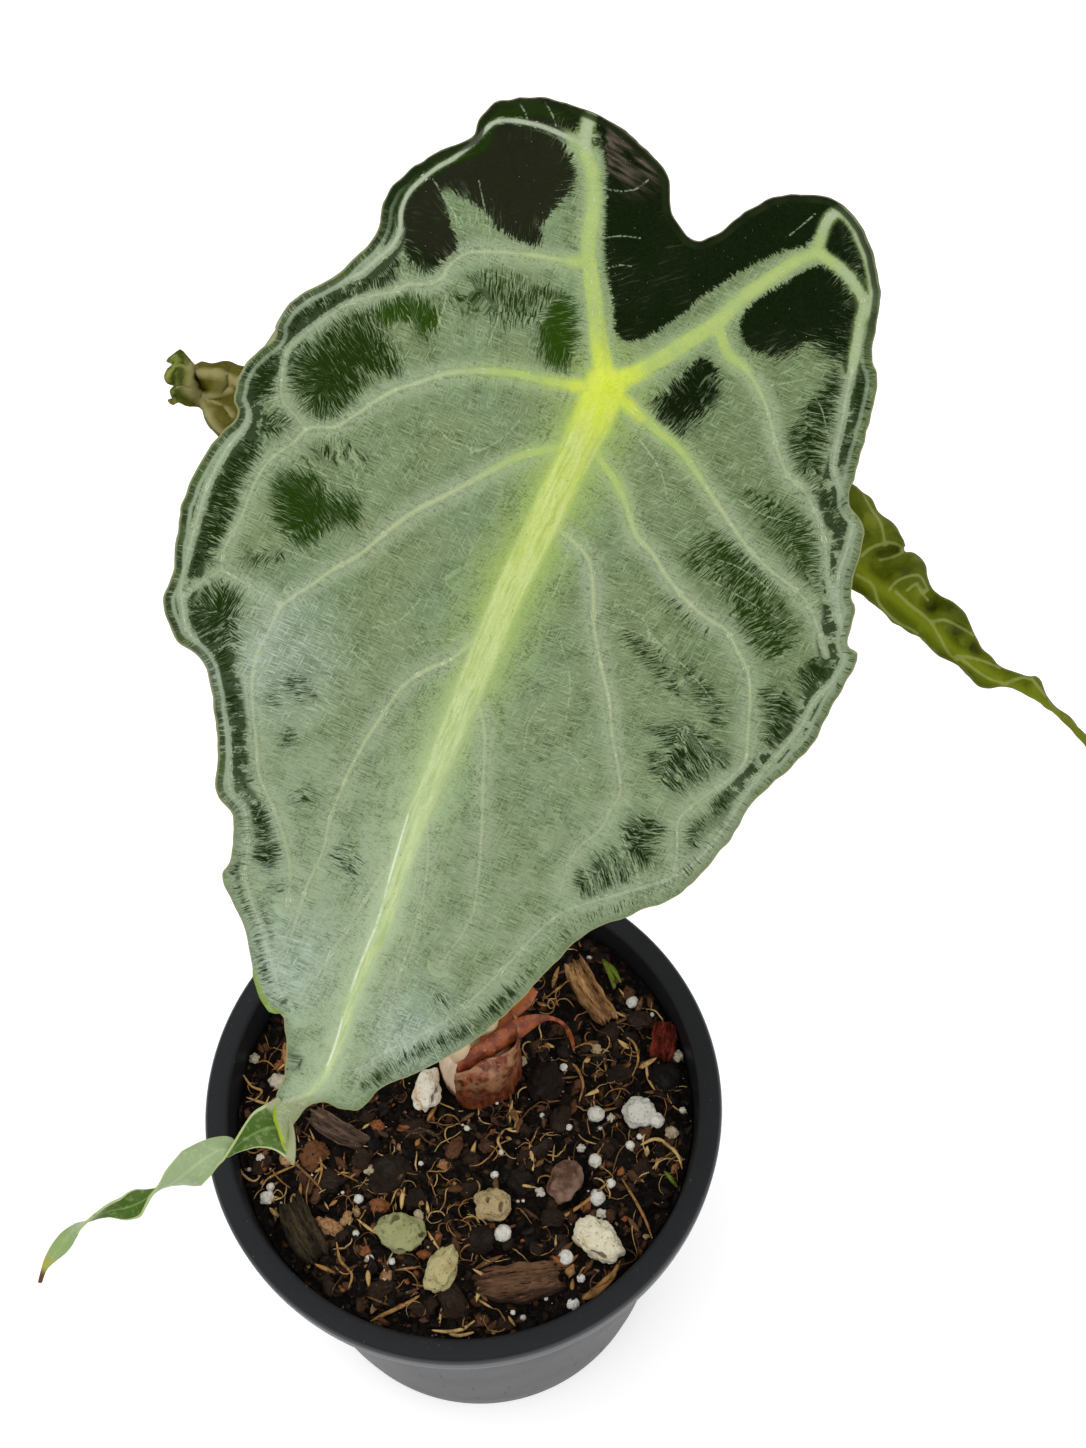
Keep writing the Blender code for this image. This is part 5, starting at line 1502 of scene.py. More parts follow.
def silver_finish(settings):
    """The main leaf's upper face: silver felt streaked away from the veins, with dark windows between.

    Its masks are in millimetres: from the edge, the nearest vein, the midrib and the hub, where the stalk
    joins, and across the sheet.
    """
    finish = Finish("leaf_silver", 0.42, 0.02)
    names = "edge", "vein", "mid", "hub", "window", "veil", "vivid", "hair"
    edge, vein, mid, hub, window, veil, vivid, hair = finish.numbers(*names)
    sheet = finish.vector("sheet")
    right, up, side = (sheet.part(axis) for axis in "XYZ")
    fur = finish.vector("fur").warp(0.7, 0.5)
    broad = sheet.noise(0.075, 3)
    patch = sheet.noise(0.25, 4)
    speck = sheet.noise(2.3, 3, 0.6)
    fringe = fur.streaks((4.0, 0.34, 1), 3, 0.65)
    straight = fur.streaks((4.8, 0.26, 1), 2)
    long_hairs, cross_hairs = (sheet.streaks((4.6, 0.34, 1), 2, turn=turn) for turn in (28, 112))
    strokes = long_hairs.step(0.55, 0.68).most(cross_hairs.step(0.53, 0.66))
    strokes = strokes.most(straight.step(0.55, 0.68) * mid.step(2.5, 8.0))
    gaps = speck.step(0.46, 0.34).most(cross_hairs.step(0.46, 0.34) * 0.9)
    gaps = gaps.most(long_hairs.step(0.42, 0.32) * 0.7)
    ragged_by = fringe - 0.5
    speckled_by = speck - 0.5

    # The felt
    silver = tuple(settings.silver)
    green = times(silver, 0.66, 0.72, 0.52)
    cool = times(silver, 0.99, 1.02, 0.95)
    mottled = patch.step(0.42, 0.62)
    low = up.step(-62.0, -80.0)
    lime = (mid + ragged_by * 6.0).step(8.5, 0.0) * hub.step(240.0, 10.0)
    lime_colour = finish.mix(hub.step(30.0, 100.0), srgb(160, 184, 96), srgb(176, 194, 156))
    halo = vein.step(3.0, 0.2) * hub.step(130.0, 10.0)
    upper = up.step(1.0, 5.0) * right.step(-7.5, -5.0)
    outer = hub.step(13.0, 32.0) * (1 - 0.85 * upper * hub.step(60.0, 48.0))
    felt = finish.coats(
        finish.mix(broad.step(0.38, 0.62), cool, times(silver, 1.04, 0.98, 0.84)),
        (right.step(-2.0, 24.0) * 0.8, times(silver, 0.80, 0.80, 0.64)),
        # the lower part, left of the midrib most, made paler and bluer: paler felt with a painted whitish
        # sheen
        (up.step(-30.0, -88.0) * (0.40 + 0.50 * side.step(5.0, -3.0)), times(silver, 1.66, 1.57, 1.84)),
        (mottled * 0.40, green),
        (lime * 0.55, lime_colour),
        (halo * 0.55, finish.mix(outer, srgb(152, 172, 108), srgb(152, 164, 134))),
        (vein.step(2.4, 0.2) * 0.45, srgb(154, 166, 138)),
        (gaps * (0.34 + 0.35 * mottled), times(green, 0.34)),
        (strokes * 0.56, times(cool, 1.75)),
    )

    # The dark windows between the veins
    corner = sheet.near((-22.0, 37.0, -9.0), 24.0).step(0.05, 0.35)
    crisp = sheet.near((14.0, 27.0, 9.0), 34.0).step(0.05, 0.30).most(corner * 0.8)
    top = sheet.near((8.0, 32.0, 0.0), 62.0).step(0.10, 0.30)
    raw = window + 0.2 + ragged_by * (7.0 - 4.6 * crisp) + speckled_by * 2.0
    fine = fur.streaks((4.2, 0.42, 1), 3, 0.65)
    veiled = (fine - veil * 0.27 + window.least(4.0) * 0.02 + crisp * 0.3).step(0.26, 0.46)
    threads = straight.step(0.56, 0.68) * (window - veil * 4.0).step(3.0, 0.3) * (1 - crisp)
    opened = (raw * (1 + 2.5 * crisp)).step(-1.0, 1.0) * (vein + corner * 0.3).step(0.1, 1.0)
    opened = opened * veiled * (1 - threads * 0.75)
    rim = edge.step(3.4, 2.2) * top * vein.step(0.3, 1.2)
    inner_rim = (edge + ragged_by * 3.0).step(7.0, 5.0) * corner * vein.step(-0.22, 0.08)
    cells = edge.step(1.7, 2.2) * edge.step(5.6, 4.6) * (vein + speckled_by * 0.9).step(0.30, 0.60)
    cells = cells * (sheet.noise(0.33, 3) + (straight - 0.5) * 0.3).step(0.43, 0.49) * (1 - low)
    opened = opened.most(rim.most(inner_rim)).most(cells * 0.88)
    dark = tuple(settings.window)
    sheen = top * broad.step(0.52, 0.68)
    curl = sheet.streaks((0.25, 2.2, 1), 3, turn=-18).step(0.56, 0.66)
    # where the upper lobe gets its painted rosy-brown sheen, and the streaks of it
    rosy_sheen = sheet.near((4.5, 40.5, 9.0), 13.0).step(0.05, 0.80)
    rosy_sheen_streaks = sheet.streaks((0.20, 1.3, 1), 3, turn=34).step(0.36, 0.72)
    glass = finish.coats(
        finish.mix(speck.step(0.35, 0.65), dark, times(dark, 1.5)),
        (vivid.most(0.25 - 0.25 * top) * 0.8, srgb(40, 68, 4)),
        # painted sheen: a soft green-grey sheen near the top, and a brown sheen on the windows of the
        # top-left corner
        (sheen * 0.06, srgb(46, 54, 34)),
        (corner * edge.step(2.6, 3.6) * 0.45, srgb(42, 40, 28)),
        (corner * edge.step(3.6, 2.6) * 0.8, srgb(30, 48, 6)),
        # painted brown sheen streaks near the top, and painted rosy-brown sheen streaks in the upper lobe
        (sheen * curl * 0.25, srgb(96, 90, 74)),
        (rosy_sheen * rosy_sheen_streaks * 0.80, srgb(104, 92, 80)),
    )

    # The veins and the fine hairs
    cord = (vein + speckled_by * 0.5 - 0.45 * upper * hub.step(60.0, 48.0)).step(0.24, -0.28)
    glint = fur.streaks((0.8, 4.0, 1), 3).step(0.60, 0.70)
    side_line = vein.step(-0.05, 0.15) * vein.step(0.5, 0.2)
    worn = fur.streaks((0.22, 0.0, 1), 3).step(0.34, 0.60)
    marginal = edge.step(7.5, 5.0)
    cord_colour = finish.coats(
        finish.mix(outer, srgb(170, 188, 100), srgb(162, 174, 132)), (marginal * 0.8, srgb(160, 170, 150))
    )
    soft = (vein + ragged_by * 1.2).step(1.3, -0.2) * (1 - outer)
    core = (vein + ragged_by * 0.7).step(-0.10, -0.38) * outer
    core_colour = finish.mix(marginal, srgb(184, 194, 142), srgb(176, 184, 164))

    # The midrib and the hub
    grain = sheet.warp(0.3, 1.2).streaks((1.6, 0.12, 1), 4, 0.65, turn=24)
    rib = finish.coats(
        finish.mix(hub.step(8.0, 80.0), tuple(settings.rib), srgb(176, 194, 144)),
        (grain.step(0.52, 0.36) * 0.55, srgb(150, 170, 92)),
        (grain.step(0.50, 0.64) * 0.40, srgb(204, 214, 164)),
        (patch.step(0.40, 0.62) * 0.25, srgb(206, 216, 150)),
        (gaps * 0.16, srgb(128, 146, 76)),
        (sheet.cells(0.55).step(0.10, 0.05) * 0.6, srgb(110, 84, 46)),
    )
    shine = mid.step(-0.55, -0.35) * mid.step(-0.02, -0.20) * side.step(0.1, -0.1) * hub.step(66.0, 80.0)
    broken_shine = sheet.streaks((0.10, 0.10, 0), 4, 0.6).step(0.44, 0.54)
    yellow = (hub + (patch - 0.5) * 8.0).step(12.0, -1.0) * mid.least(vein).step(1.3, -0.2)

    # The margin
    inland = 1 - sheet.near((-52.0, -119.0, 0.0), 24.0).step(0.15, 0.5)
    leftward = right.step(2.0, -12.0) * (1 - low)
    band = edge.step(0.25, 0.55) * edge.step(1.6, 1.1) * (1 - low)
    band = band + edge.step(0.8, 1.5) * edge.step(3.4, 2.3) * low
    broken = fringe.step(0.52 - 0.15 * leftward, 0.62 - 0.14 * leftward).most(top)
    verge = finish.coats(
        finish.mix(patch.step(0.40, 0.62), srgb(26, 40, 14), srgb(62, 78, 38)), (top * 0.85, srgb(20, 30, 10))
    )
    line = edge.step(1.2, 1.5) * edge.step(2.2, 1.7) * (1 - top) * (1 - low)

    # The turned flap at the tip, and patches of painted bluish-white sheen
    hook = edge.step(1.0, 0.5) * sheet.near((-57.0, -100.5, -9.0), 5.5)
    flap = up - right * 0.3
    flap_side = right.step(-47.5, -49.0)
    folded = flap.step(-101.9, -102.5) * flap_side
    crease = flap.step(-101.5, -101.9) * flap.step(-102.6, -102.2) * flap_side
    painted_sheen = sheet.near((-54.0, -44.0, -9.0), 17.0) + sheet.near((-52.0, -95.0, -9.0), 13.0)
    painted_sheen = (painted_sheen + sheet.near((-32.0, -107.0, 6.0), 13.0)) * (1 - opened)

    colour = finish.coats(
        finish.mix(opened, felt, glass),
        (side_line * fringe.step(0.48, 0.60) * 0.35, srgb(84, 98, 56)),
        (soft * 0.5, srgb(152, 178, 94)),
        (cord * (0.40 + 0.35 * worn) * (1 - 0.50 * outer), cord_colour),
        (core * 0.45, core_colour),
        (vein.step(0.5, 0.0) * glint * 0.65, srgb(206, 216, 184)),
        (hair.step(0.24, 0.04) * speck.step(0.40, 0.55) * 0.45, srgb(176, 192, 156)),
        (sheet.cells(0.8).step(0.055, 0.03) * 0.6, srgb(196, 204, 188)),
        ((mid + ragged_by * 3.0).step(2.6, 0.0) * 0.45, lime_colour),
        ((mid + speckled_by * 1.6).step(0.5, -0.8), rib),
        (shine * broken_shine * 0.75, srgb(222, 230, 208)),
        (yellow, tuple(settings.hub)),
        (edge.step(2.0, 0.4) * (0.45 - 0.2 * low) * (1 - opened), srgb(92, 104, 66)),
        (band * 0.88 * broken * inland, verge),
        (line * 0.55, srgb(138, 154, 130)),
        (edge.step(0.34, 0.12) * 0.9, finish.mix(top, srgb(150, 152, 108), srgb(122, 116, 92))),
        (hook.step(0.02, 0.25) * 0.9, srgb(120, 148, 24)),
        (folded * 0.6, finish.mix(strokes, srgb(146, 150, 108), srgb(170, 176, 136))),
        (folded * edge.step(0.8, 0.3) * right.step(-52.0, -53.4), srgb(150, 172, 36)),
        (crease * 0.35, srgb(186, 194, 154)),
        # painted bluish-white sheen over the felt of the lower part
        (painted_sheen * strokes * 0.5 + painted_sheen * 0.15, srgb(180, 196, 190)),
    )
    finish.set(Coat_Weight=mid.least(vein).step(0.2, -0.2) * 0.25, Coat_Roughness=0.2)
    roughness = 0.46 - 0.20 * opened + 0.10 * gaps - 0.12 * cord
    height = strokes * 0.6 + speck * 0.8 + glint * cord - opened * 0.5
    return finish.done(colour, roughness, height, 0.14 * MM, 0.6)


def under_finish(name, pale, rib):
    """The underside of a leaf: pale and matt, with greener ribs and a fine net of veins."""
    finish = Finish(name, 0.55)
    place = finish.place()
    mid, vein = finish.numbers("mid", "vein")
    net = place.warp(160, 0.003).cells(260, "DISTANCE_TO_EDGE")
    cloud = place.noise(120, 4)
    colour = finish.coats(
        finish.mix(cloud, pale, times(pale, 0.72)),
        (net.step(0.10, 0.02) * 0.35, rib),
        (vein.step(0.9, 0.0) * 0.7, rib),
        (mid.step(1.0, 0.0) * 0.85, rib),
    )
    return finish.done(colour, 0.55, net.step(0.12, 0.0) + cloud * 0.5, 0.3 * MM, 0.6)


def olive_finish(settings):
    """The left leaf's seen face: tan olive, with painted shade in its hollows and painted light on its
    bulges, pale rounded veins and green curls.
    """
    finish = Finish("leaf_olive", 0.45, 0.02)
    vein, edge, pit = finish.numbers("vein", "edge", "pit")
    sheet = finish.vector("sheet")
    right = sheet.part("X")
    cloud = sheet.noise(0.5, 4)
    fine = sheet.streaks((0.7, 3.2, 1), 3, 0.6, turn=-14)
    olive = tuple(settings.olive)
    hollow = pit + (cloud - 0.5) * 1.4
    leafy = finish.mix(cloud.step(0.42, 0.62), srgb(48, 62, 8), srgb(128, 138, 66))
    colour = finish.coats(
        finish.mix(fine.step(0.35, 0.65), times(olive, 0.80), olive),
        # painted light on the bulges, then painted shade in the hollows, both from the pits' depths
        (hollow.step(-0.1, -0.9) * 0.8, srgb(124, 118, 72)),
        (hollow.step(0.25, 1.3) * 0.9, srgb(62, 54, 8)),
        (vein.step(0.9, -0.15) * 0.85, srgb(150, 144, 96)),
        (right.step(-30.4, -31.8) * 0.9, leafy),
        (edge.step(0.45, 0.15) * 0.6, srgb(96, 88, 48)),
    )
    return finish.done(colour, 0.48, fine + cloud, 0.25 * MM, 0.7)


def bright_finish(settings):
    """The right leaf's seen face: quilted bright olive, with painted shade in its hollows and painted light
    on its bulges, and thin pale ribs.
    """
    finish = Finish("leaf_bright", 0.38, 0.02)
    vein, mid, edge, pit = finish.numbers("vein", "mid", "edge", "pit")
    sheet = finish.vector("sheet")
    cloud = sheet.noise(0.45, 4)
    weave = finish.vector("fur").streaks((0.9, 2.6, 1), 3)
    fine = sheet.noise(3.2, 3)
    bright = tuple(settings.bright)
    hollow = pit + (cloud - 0.5) * 1.5
    colour = finish.coats(
        finish.mix(weave.step(0.35, 0.65), bright, times(bright, 0.82)),
        # painted light on the bulges, then painted shade in the hollows, both from the pits' depths
        (hollow.step(-0.05, -0.8) * 0.8, srgb(104, 112, 28)),
        (hollow.step(0.10, 0.95) * 0.95, srgb(26, 30, 1)),
        (mid.step(1.5, -0.6) * 0.8, srgb(112, 122, 20)),
        (vein.step(0.30, -0.12) * 0.62, srgb(150, 156, 92)),
        (vein.step(2.0, 0.4) * 0.25, srgb(112, 122, 30)),
        (edge.step(0.5, 0.15) * 0.6, srgb(118, 118, 66)),
    )
    return finish.done(colour, 0.36 + 0.1 * fine, fine + weave, 0.25 * MM, 0.6)


def tail_finish(name, body, rib, bright_edge):
    """One face of the twisted tail, with a pale rib down its middle and a bright edge."""
    finish = Finish(name, 0.3, 0.2)
    across, along = finish.numbers("across", "along")
    away = finish.math("ABSOLUTE", across, 0.0)
    place = finish.place()
    streak = place.noise(900, 4)
    cloud = place.noise(220, 3)
    colour = finish.coats(
        finish.mix(cloud, body, times(body, 0.66)),
        (streak.step(0.5, 0.7) * 0.3, rib),
        (away.step(0.13, 0.03) * 0.3, rib),
        (away.step(0.90, 0.98) * 0.7, bright_edge),
        (cloud.step(0.66, 0.72) * 0.5, srgb(40, 46, 26)),
        (along.step(0.026, 0.018), srgb(148, 154, 114)),
        (along.step(0.80, 0.90) * 0.5, srgb(124, 152, 70)),
        (along.step(0.93, 0.96) * 0.6, srgb(170, 158, 40)),
        (along.step(0.965, 0.985), srgb(88, 58, 30)),
    )
    return finish.done(colour, 0.32, streak + cloud, 0.2 * MM, 0.5)


def floor_finish(settings):
    """A plain pale floor."""
    finish = Finish("floor", 0.7)
    grain = finish.place().noise(6, 3)
    pale = tuple(settings.floor)
    finish.set(
        Base_Color=finish.mix(grain, pale, times(pale, 0.99)), Roughness=0.75,
        Emission_Color=(1.0, 1.0, 1.0), Emission_Strength=0.4,
    )
    return finish


# Shapes of the lesser pieces


def rounded(middle, bend, turns):
    """A rounded corner of the rim's top as (radius, height) pairs, at turns given in half circles."""
    return [
        (middle + bend * math.cos(math.pi * t), POT_HEIGHT - bend + bend * math.sin(math.pi * t))
        for t in turns
    ]


def pot_profile():
    """The pot's turned outline: from its floor's middle up the inside, over the rim and down outside."""
    taper = (RIM_RADIUS - RIM_WIDTH + WALL - POT_BASE_RADIUS) / (POT_HEIGHT - RIM_DROP)
    lip_foot = POT_HEIGHT - RIM_DROP
    under_lip = lip_foot - 1.0 * MM
    foot = 1.2 * MM
    steps = 11
    profile = [(0, FLOOR), (DRAIN_CIRCLE, FLOOR), (POT_BASE_RADIUS + taper * FLOOR - WALL - 1 * MM, FLOOR)]
    profile.append((POT_BASE_RADIUS + taper * FLOOR - WALL, FLOOR + 1 * MM))
    for i in range(1, steps + 1):
        z = FLOOR + (POT_HEIGHT - 2 * MM - FLOOR) * i / steps
        profile.append((pot_inside(z), z))
    inner = 0.9 * MM
    outer = 1.5 * MM
    profile += rounded(RIM_RADIUS - RIM_WIDTH + inner, inner, [1 - k / 12 for k in range(7)])
    profile.append((RIM_RADIUS - RIM_WIDTH * 0.5, POT_HEIGHT + 0.05 * MM))
    profile += rounded(RIM_RADIUS - outer, outer, [0.5 - k / 16 for k in range(9)])
    profile += [
        (RIM_RADIUS - 0.1 * MM, lip_foot + 2 * MM),
        (RIM_RADIUS - 0.25 * MM, lip_foot + 0.4 * MM),
        (RIM_RADIUS - 0.6 * MM, lip_foot),
        (RIM_RADIUS - 1.2 * MM, lip_foot - 0.3 * MM),
        (POT_BASE_RADIUS + taper * lip_foot + 0.4 * MM, lip_foot - 0.3 * MM),
        (POT_BASE_RADIUS + taper * lip_foot, under_lip),
    ]
    for i in range(1, steps + 1):
        z = under_lip + (foot - under_lip) * i / (steps + 1)
        profile.append((POT_BASE_RADIUS + taper * z, z))
    profile += [
        (POT_BASE_RADIUS - 0.2 * MM, 0.5 * MM), (POT_BASE_RADIUS - 0.8 * MM, 0), (DRAIN_CIRCLE, 0), (0, 0),
    ]
    return profile


def lathe(profile, sides, centre=(0, 0)):
    """The points and faces of a solid turned from (radius, height) pairs."""
    points = []
    for radius, z in profile:
        for k in range(sides):
            x, y = round_middle(radius, 2 * math.pi * k / sides)
            points.append(Vector((centre[0] + x, centre[1] + y, z)))
    return points, rings(len(profile) - 1, sides)


def mesh_from(name, points, faces, smooth_angle=None):
    """A mesh from points and faces, with doubled points merged and faces pointing out."""
    shape = bmesh.new()
    corners = [shape.verts.new(p) for p in points]
    for face in faces:
        shape.faces.new([corners[i] for i in face])
    bmesh.ops.remove_doubles(shape, verts=shape.verts, dist=0.00001)
    bmesh.ops.recalc_face_normals(shape, faces=shape.faces)
    mesh = bpy.data.meshes.new(name)
    shape.to_mesh(mesh)
    shape.free()
    mesh.shade_smooth()
    if smooth_angle:
        mesh.set_sharp_from_angle(angle=math.radians(smooth_angle))
    return mesh


def stone_points(size, turn, spot, seed, roughness, points, grit=0.05, pores=0.0):
    """The points of a rough rounded stone over a unit ball's points, and how deep in a pore each one is."""
    offset = Vector((seed * 7.3, seed * 3.1, seed * 5.7))
    half = Vector(size) / 2
    placed = []
    hollows = []
    for out in points:
        bump = 1 + roughness * noise.noise(out * 1.7 + offset)
        bump += grit * noise.fractal(out * 5 + offset, 0.8, 2.1, 3)
        hollow = 0.0
        if pores:
            hollow = ease(noise.noise(out * 2.3 + offset * 2), 0.40, 0.56)
            bump -= pores * hollow
        flat = Vector((out.x * half.x, out.y * half.y, out.z * half.z)) * bump
        placed.append(Vector((*spun(flat.x, flat.y, turn), flat.z)) + spot)
        hollows.append(hollow)
    return placed, hollows


def chip_mesh(name, size, turn, spot, seed):
    """A splinter of bark: a bar with broken ends, long grooves and a split surface."""
    columns = 90
    rows = 34
    length, width, height = size
    points = []
    index = {}
    for side in (1, -1):
        for i in range(columns + 1):
            u = i / columns * 2 - 1
            for j in range(rows + 1):
                v = j / rows * 2 - 1
                taper = (1 - 0.28 * abs(u) ** 3.5) * (1 + 0.16 * noise.noise(Vector((u * 3, seed, 0))))
                broken = 0.10 * length * noise.noise(Vector((seed, v * 2.3, u)))
                broken += 0.05 * length * noise.noise(Vector((seed, v * 9, 3)))
                groove = 0.10 * height * math.cos(2 * math.pi * (v + 1)) * (side > 0)
                fine = noise.fractal(Vector((u * 2.2, v * 11, seed)), 0.8, 2.0, 3)
                groove += 0.14 * height * fine * (1 if side > 0 else 0.6)
                x = u * length / 2 + broken * abs(u)
                y = v * width / 2 * taper + 0.05 * length * u * u
                full = (1 - 0.35 * v * v) * (1 - 0.25 * abs(u) ** 3)
                rim = math.sqrt(max(0, 1 - abs(v) ** 9)) * math.sqrt(max(0, 1 - abs(u) ** 14))
                z = side * height / 2 * full * (0.25 + 0.75 * rim) + groove * rim
                index[side, i, j] = len(points)
                x, y = spun(x, y, turn)
                points.append(Vector((x + spot.x, y + spot.y, z + spot.z)))
    faces = []
    for side in (1, -1):
        for i in range(columns):
            for j in range(rows):
                faces.append([index[side, i + a, j + b] for a, b in ((0, 0), (1, 0), (1, 1), (0, 1))])
    ends = [(i, 0) for i in range(columns + 1)] + [(columns, j) for j in range(1, rows + 1)]
    ends += [(i, rows) for i in range(columns - 1, -1, -1)] + [(0, j) for j in range(rows - 1, 0, -1)]
    for a, b in zip(ends, ends[1:] + ends[:1]):
        faces.append([index[1, *a], index[1, *b], index[-1, *b], index[-1, *a]])
    return mesh_from(name, points, faces, 60)


def add_stalk(name, blade, route, turn, finish, to_eye=False):
    """A leaf stalk from its socket in the corm to the underside of its blade's joint."""
    corm = corm_middle()
    foot = corm + Vector((math.cos(turn), math.sin(turn), 0)) * STALK_RING
    foot.z = CORM_TOP - STALK_SOCKET + 0.3 * MM
    out = blade.normal(*blade.joint) * (1 if to_eye else -1)
    joint = blade.point(*blade.joint)
    stand = blade.thickness(*blade.joint) - 0.7 * MM
    path = [foot, foot + Vector((0, 0, 8 * MM))]
    path += [Vector((corm.x, corm.y, SOIL_TOP)) + Vector(p) * MM for p in route]
    path += [joint + out * (stand + 9 * MM), joint + out * stand]
    line = smooth_line(path, 1.6 * MM)
    last = len(line) - 1
    radii = []
    rises = []
    for i in range(last + 1):
        t = i / last
        flare = 0.5 * MM * fade(last - i, 3.0)
        radii.append(STALK_BASE_RADIUS * (1 - 0.28 * t) + 0.08 * MM * noise.noise(line[i] * 90) + flare)
        rises += [t] * 28
    points, faces = sweep(line, radii, 28)
    mesh = smooth_mesh(name, points, faces, rise=rises)
    place_piece(f"visual_{name}", mesh, [finish], name)


def tail_edges():
    """The tail's two edges, as pairs of points from under the leaf's tip to the tail's end."""
    stations = smooth_line(TAIL, 3)
    centres = [seen(x, y, depth * MM) for x, y, depth, _, _ in stations]
    last = len(stations) - 1
    pairs = []
    for i, (_, _, _, half, turn) in enumerate(stations):
        ahead = (centres[min(i + 1, last)] - centres[max(i - 1, 0)]).normalized()
        side = ahead.cross(FORWARD).normalized()
        back = side.cross(ahead).normalized()
        turn = math.radians(turn)
        reach = (side * math.cos(turn) + back * math.sin(turn)) * half * MM
        pairs.append((centres[i] - reach, centres[i] + reach))
    fold = [(*seen(ax, ay, a * MM), *seen(bx, by, b * MM)) for ax, ay, a, bx, by, b in TAIL_FOLD]
    fold.append((*pairs[0][0], *pairs[0][1]))
    return [(Vector(row[:3]), Vector(row[3:])) for row in smooth_line(fold, MM)[:-1]] + pairs


def tail_piece():
    """The twisted tail on the main leaf's tip: a hollowed ribbon that turns over three times."""
    edges = tail_edges()
    centres = [(a + b) / 2 for a, b in edges]
    last = len(edges) - 1
    points = []
    across = []
    along = []
    for i, (a, b) in enumerate(edges):
        ahead = (centres[min(i + 1, last)] - centres[max(i - 1, 0)]).normalized()
        half = (b - a) / 2
        reach = half.normalized()
        facing = math.sqrt(max(0.0, 1 - reach.dot(FORWARD) ** 2))
        hollow = reach.cross(ahead) * half.length * (0.3 + 0.7 * facing)
        for j in range(TAIL_COLUMNS + 1):
            v = j / TAIL_COLUMNS * 2 - 1
            crinkle = 0.10 * noise.noise(Vector((i * 0.11, v * 1.5, 4))) * abs(v)
            deep = TAIL_HOLLOW * (1 - v * v) + crinkle
            points.append(centres[i] + half * v * (1 + crinkle) + hollow * deep)
            across.append(v)
            along.append(i / last)
    mesh = smooth_mesh("main_leaf_tail", points, grid(last, TAIL_COLUMNS), across=across, along=along)
    dark = tail_finish("tail_upper", srgb(72, 102, 26), srgb(156, 176, 118), srgb(206, 216, 160))
    pale = tail_finish("tail_under", srgb(152, 172, 126), srgb(178, 194, 146), srgb(168, 184, 112))
    piece = place_piece("main_leaf_tail", mesh, [pale, dark], "main_leaf")
    thicken(piece, 0.5 * MM, offset=0, material_offset=1)


def sheath_point(corm, across, rise):
    """A point of the dry sheath: across runs round the corm, rise from its foot to its lip."""
    angle = math.radians(SHEATH_START + (SHEATH_END - SHEATH_START) * across)
    height = SHEATH_LOW + (SHEATH_HIGH - SHEATH_LOW) * across
    lip = 0.86
    hood = SHEATH_HOOD * math.sin(math.pi * min(1, across * 1.7)) * max(0, rise - lip) / (1 - lip)
    crinkle = 0.4 * MM * math.sin(11 * across + 3 * rise)
    fine = 0.35 * MM * noise.fractal(Vector((across * 9, rise * 3, 1)), 0.8, 2, 3)
    radius = CORM_RADIUS + 1.1 * MM + abs(crinkle) + fine - hood
    over = max(CORM_TOP + 1.6 * MM - SOIL_TOP, height) + 2.6 * MM * math.sin(math.pi * across) ** 0.5
    torn = 1.4 * MM * noise.noise(Vector((across * 7, 5, 2))) * rise
    sunk = 1.5 * MM
    centre = Vector((corm.x, corm.y, SOIL_TOP - sunk + (over + sunk) * rise + torn))
    return centre + Vector((math.cos(angle), math.sin(angle), 0)) * radius


# Operators


class ALOCASIA_OT_pot(bpy.types.Operator):
    """Turn the plastic pot, with its rim and drain holes"""

    bl_idname = "alocasia.pot"
    bl_label = "Pot"

    def execute(self, context):
        settings = context.scene.alocasia.pot
        points, faces = lathe(pot_profile(), settings.sides)
        mesh = mesh_from("pot", points, faces, 50)
        pot = place_piece("visual_pot", mesh, [pot_finish(settings)], "pot")
        cutters = bpy.data.collections.new("drain_cutters")
        for i in range(DRAINS):
            spot = round_middle(DRAIN_CIRCLE, 2 * math.pi * i / DRAINS)
            drain = ((0, -FLOOR), (DRAIN_RADIUS, -FLOOR), (DRAIN_RADIUS, 2 * FLOOR), (0, 2 * FLOOR))
            cutters.objects.link(
                bpy.data.objects.new(f"drain_{i}", mesh_from("drain", *lathe(drain, 32, spot)))
            )
        boolean = pot.modifiers.new("drains", "BOOLEAN")
        boolean.operand_type = "COLLECTION"
        boolean.collection = cutters
        frozen(pot)
        for cutter in list(cutters.objects):
            bpy.data.objects.remove(cutter)
        bpy.data.collections.remove(cutters)
        return {"FINISHED"}


class ALOCASIA_OT_soil(bpy.types.Operator):
    """Fill the pot with bark mix that has a rough crumbly top"""

    bl_idname = "alocasia.soil"
    bl_label = "Soil"

    def execute(self, context):
        settings = context.scene.alocasia.soil
        radius = pot_inside(SOIL_TOP) - 0.3 * MM
        circles = 120
        sides = 260
        points = [resting(0, 0)]
        for i in range(1, circles + 1):
            for k in range(sides):
                angle = 2 * math.pi * (k + 0.5 * (i % 2)) / sides
                points.append(resting(*round_middle(radius * i / circles, angle)))
        foot = FLOOR + 0.3 * MM
        for reach in (pot_inside(foot) - 0.3 * MM, 0.0):
            for k in range(sides):
                angle = 2 * math.pi * (k + 0.5 * (circles % 2)) / sides
                points.append(Vector((*round_middle(reach, angle), foot)))
        faces = [[0, 1 + k, 1 + (k + 1) % sides] for k in range(sides)] + rings(circles + 1, sides, 1)
        mesh = mesh_from("soil", points, faces, 70)
        place_piece("visual_soil", mesh, [soil_finish(settings)], "soil")
        return {"FINISHED"}


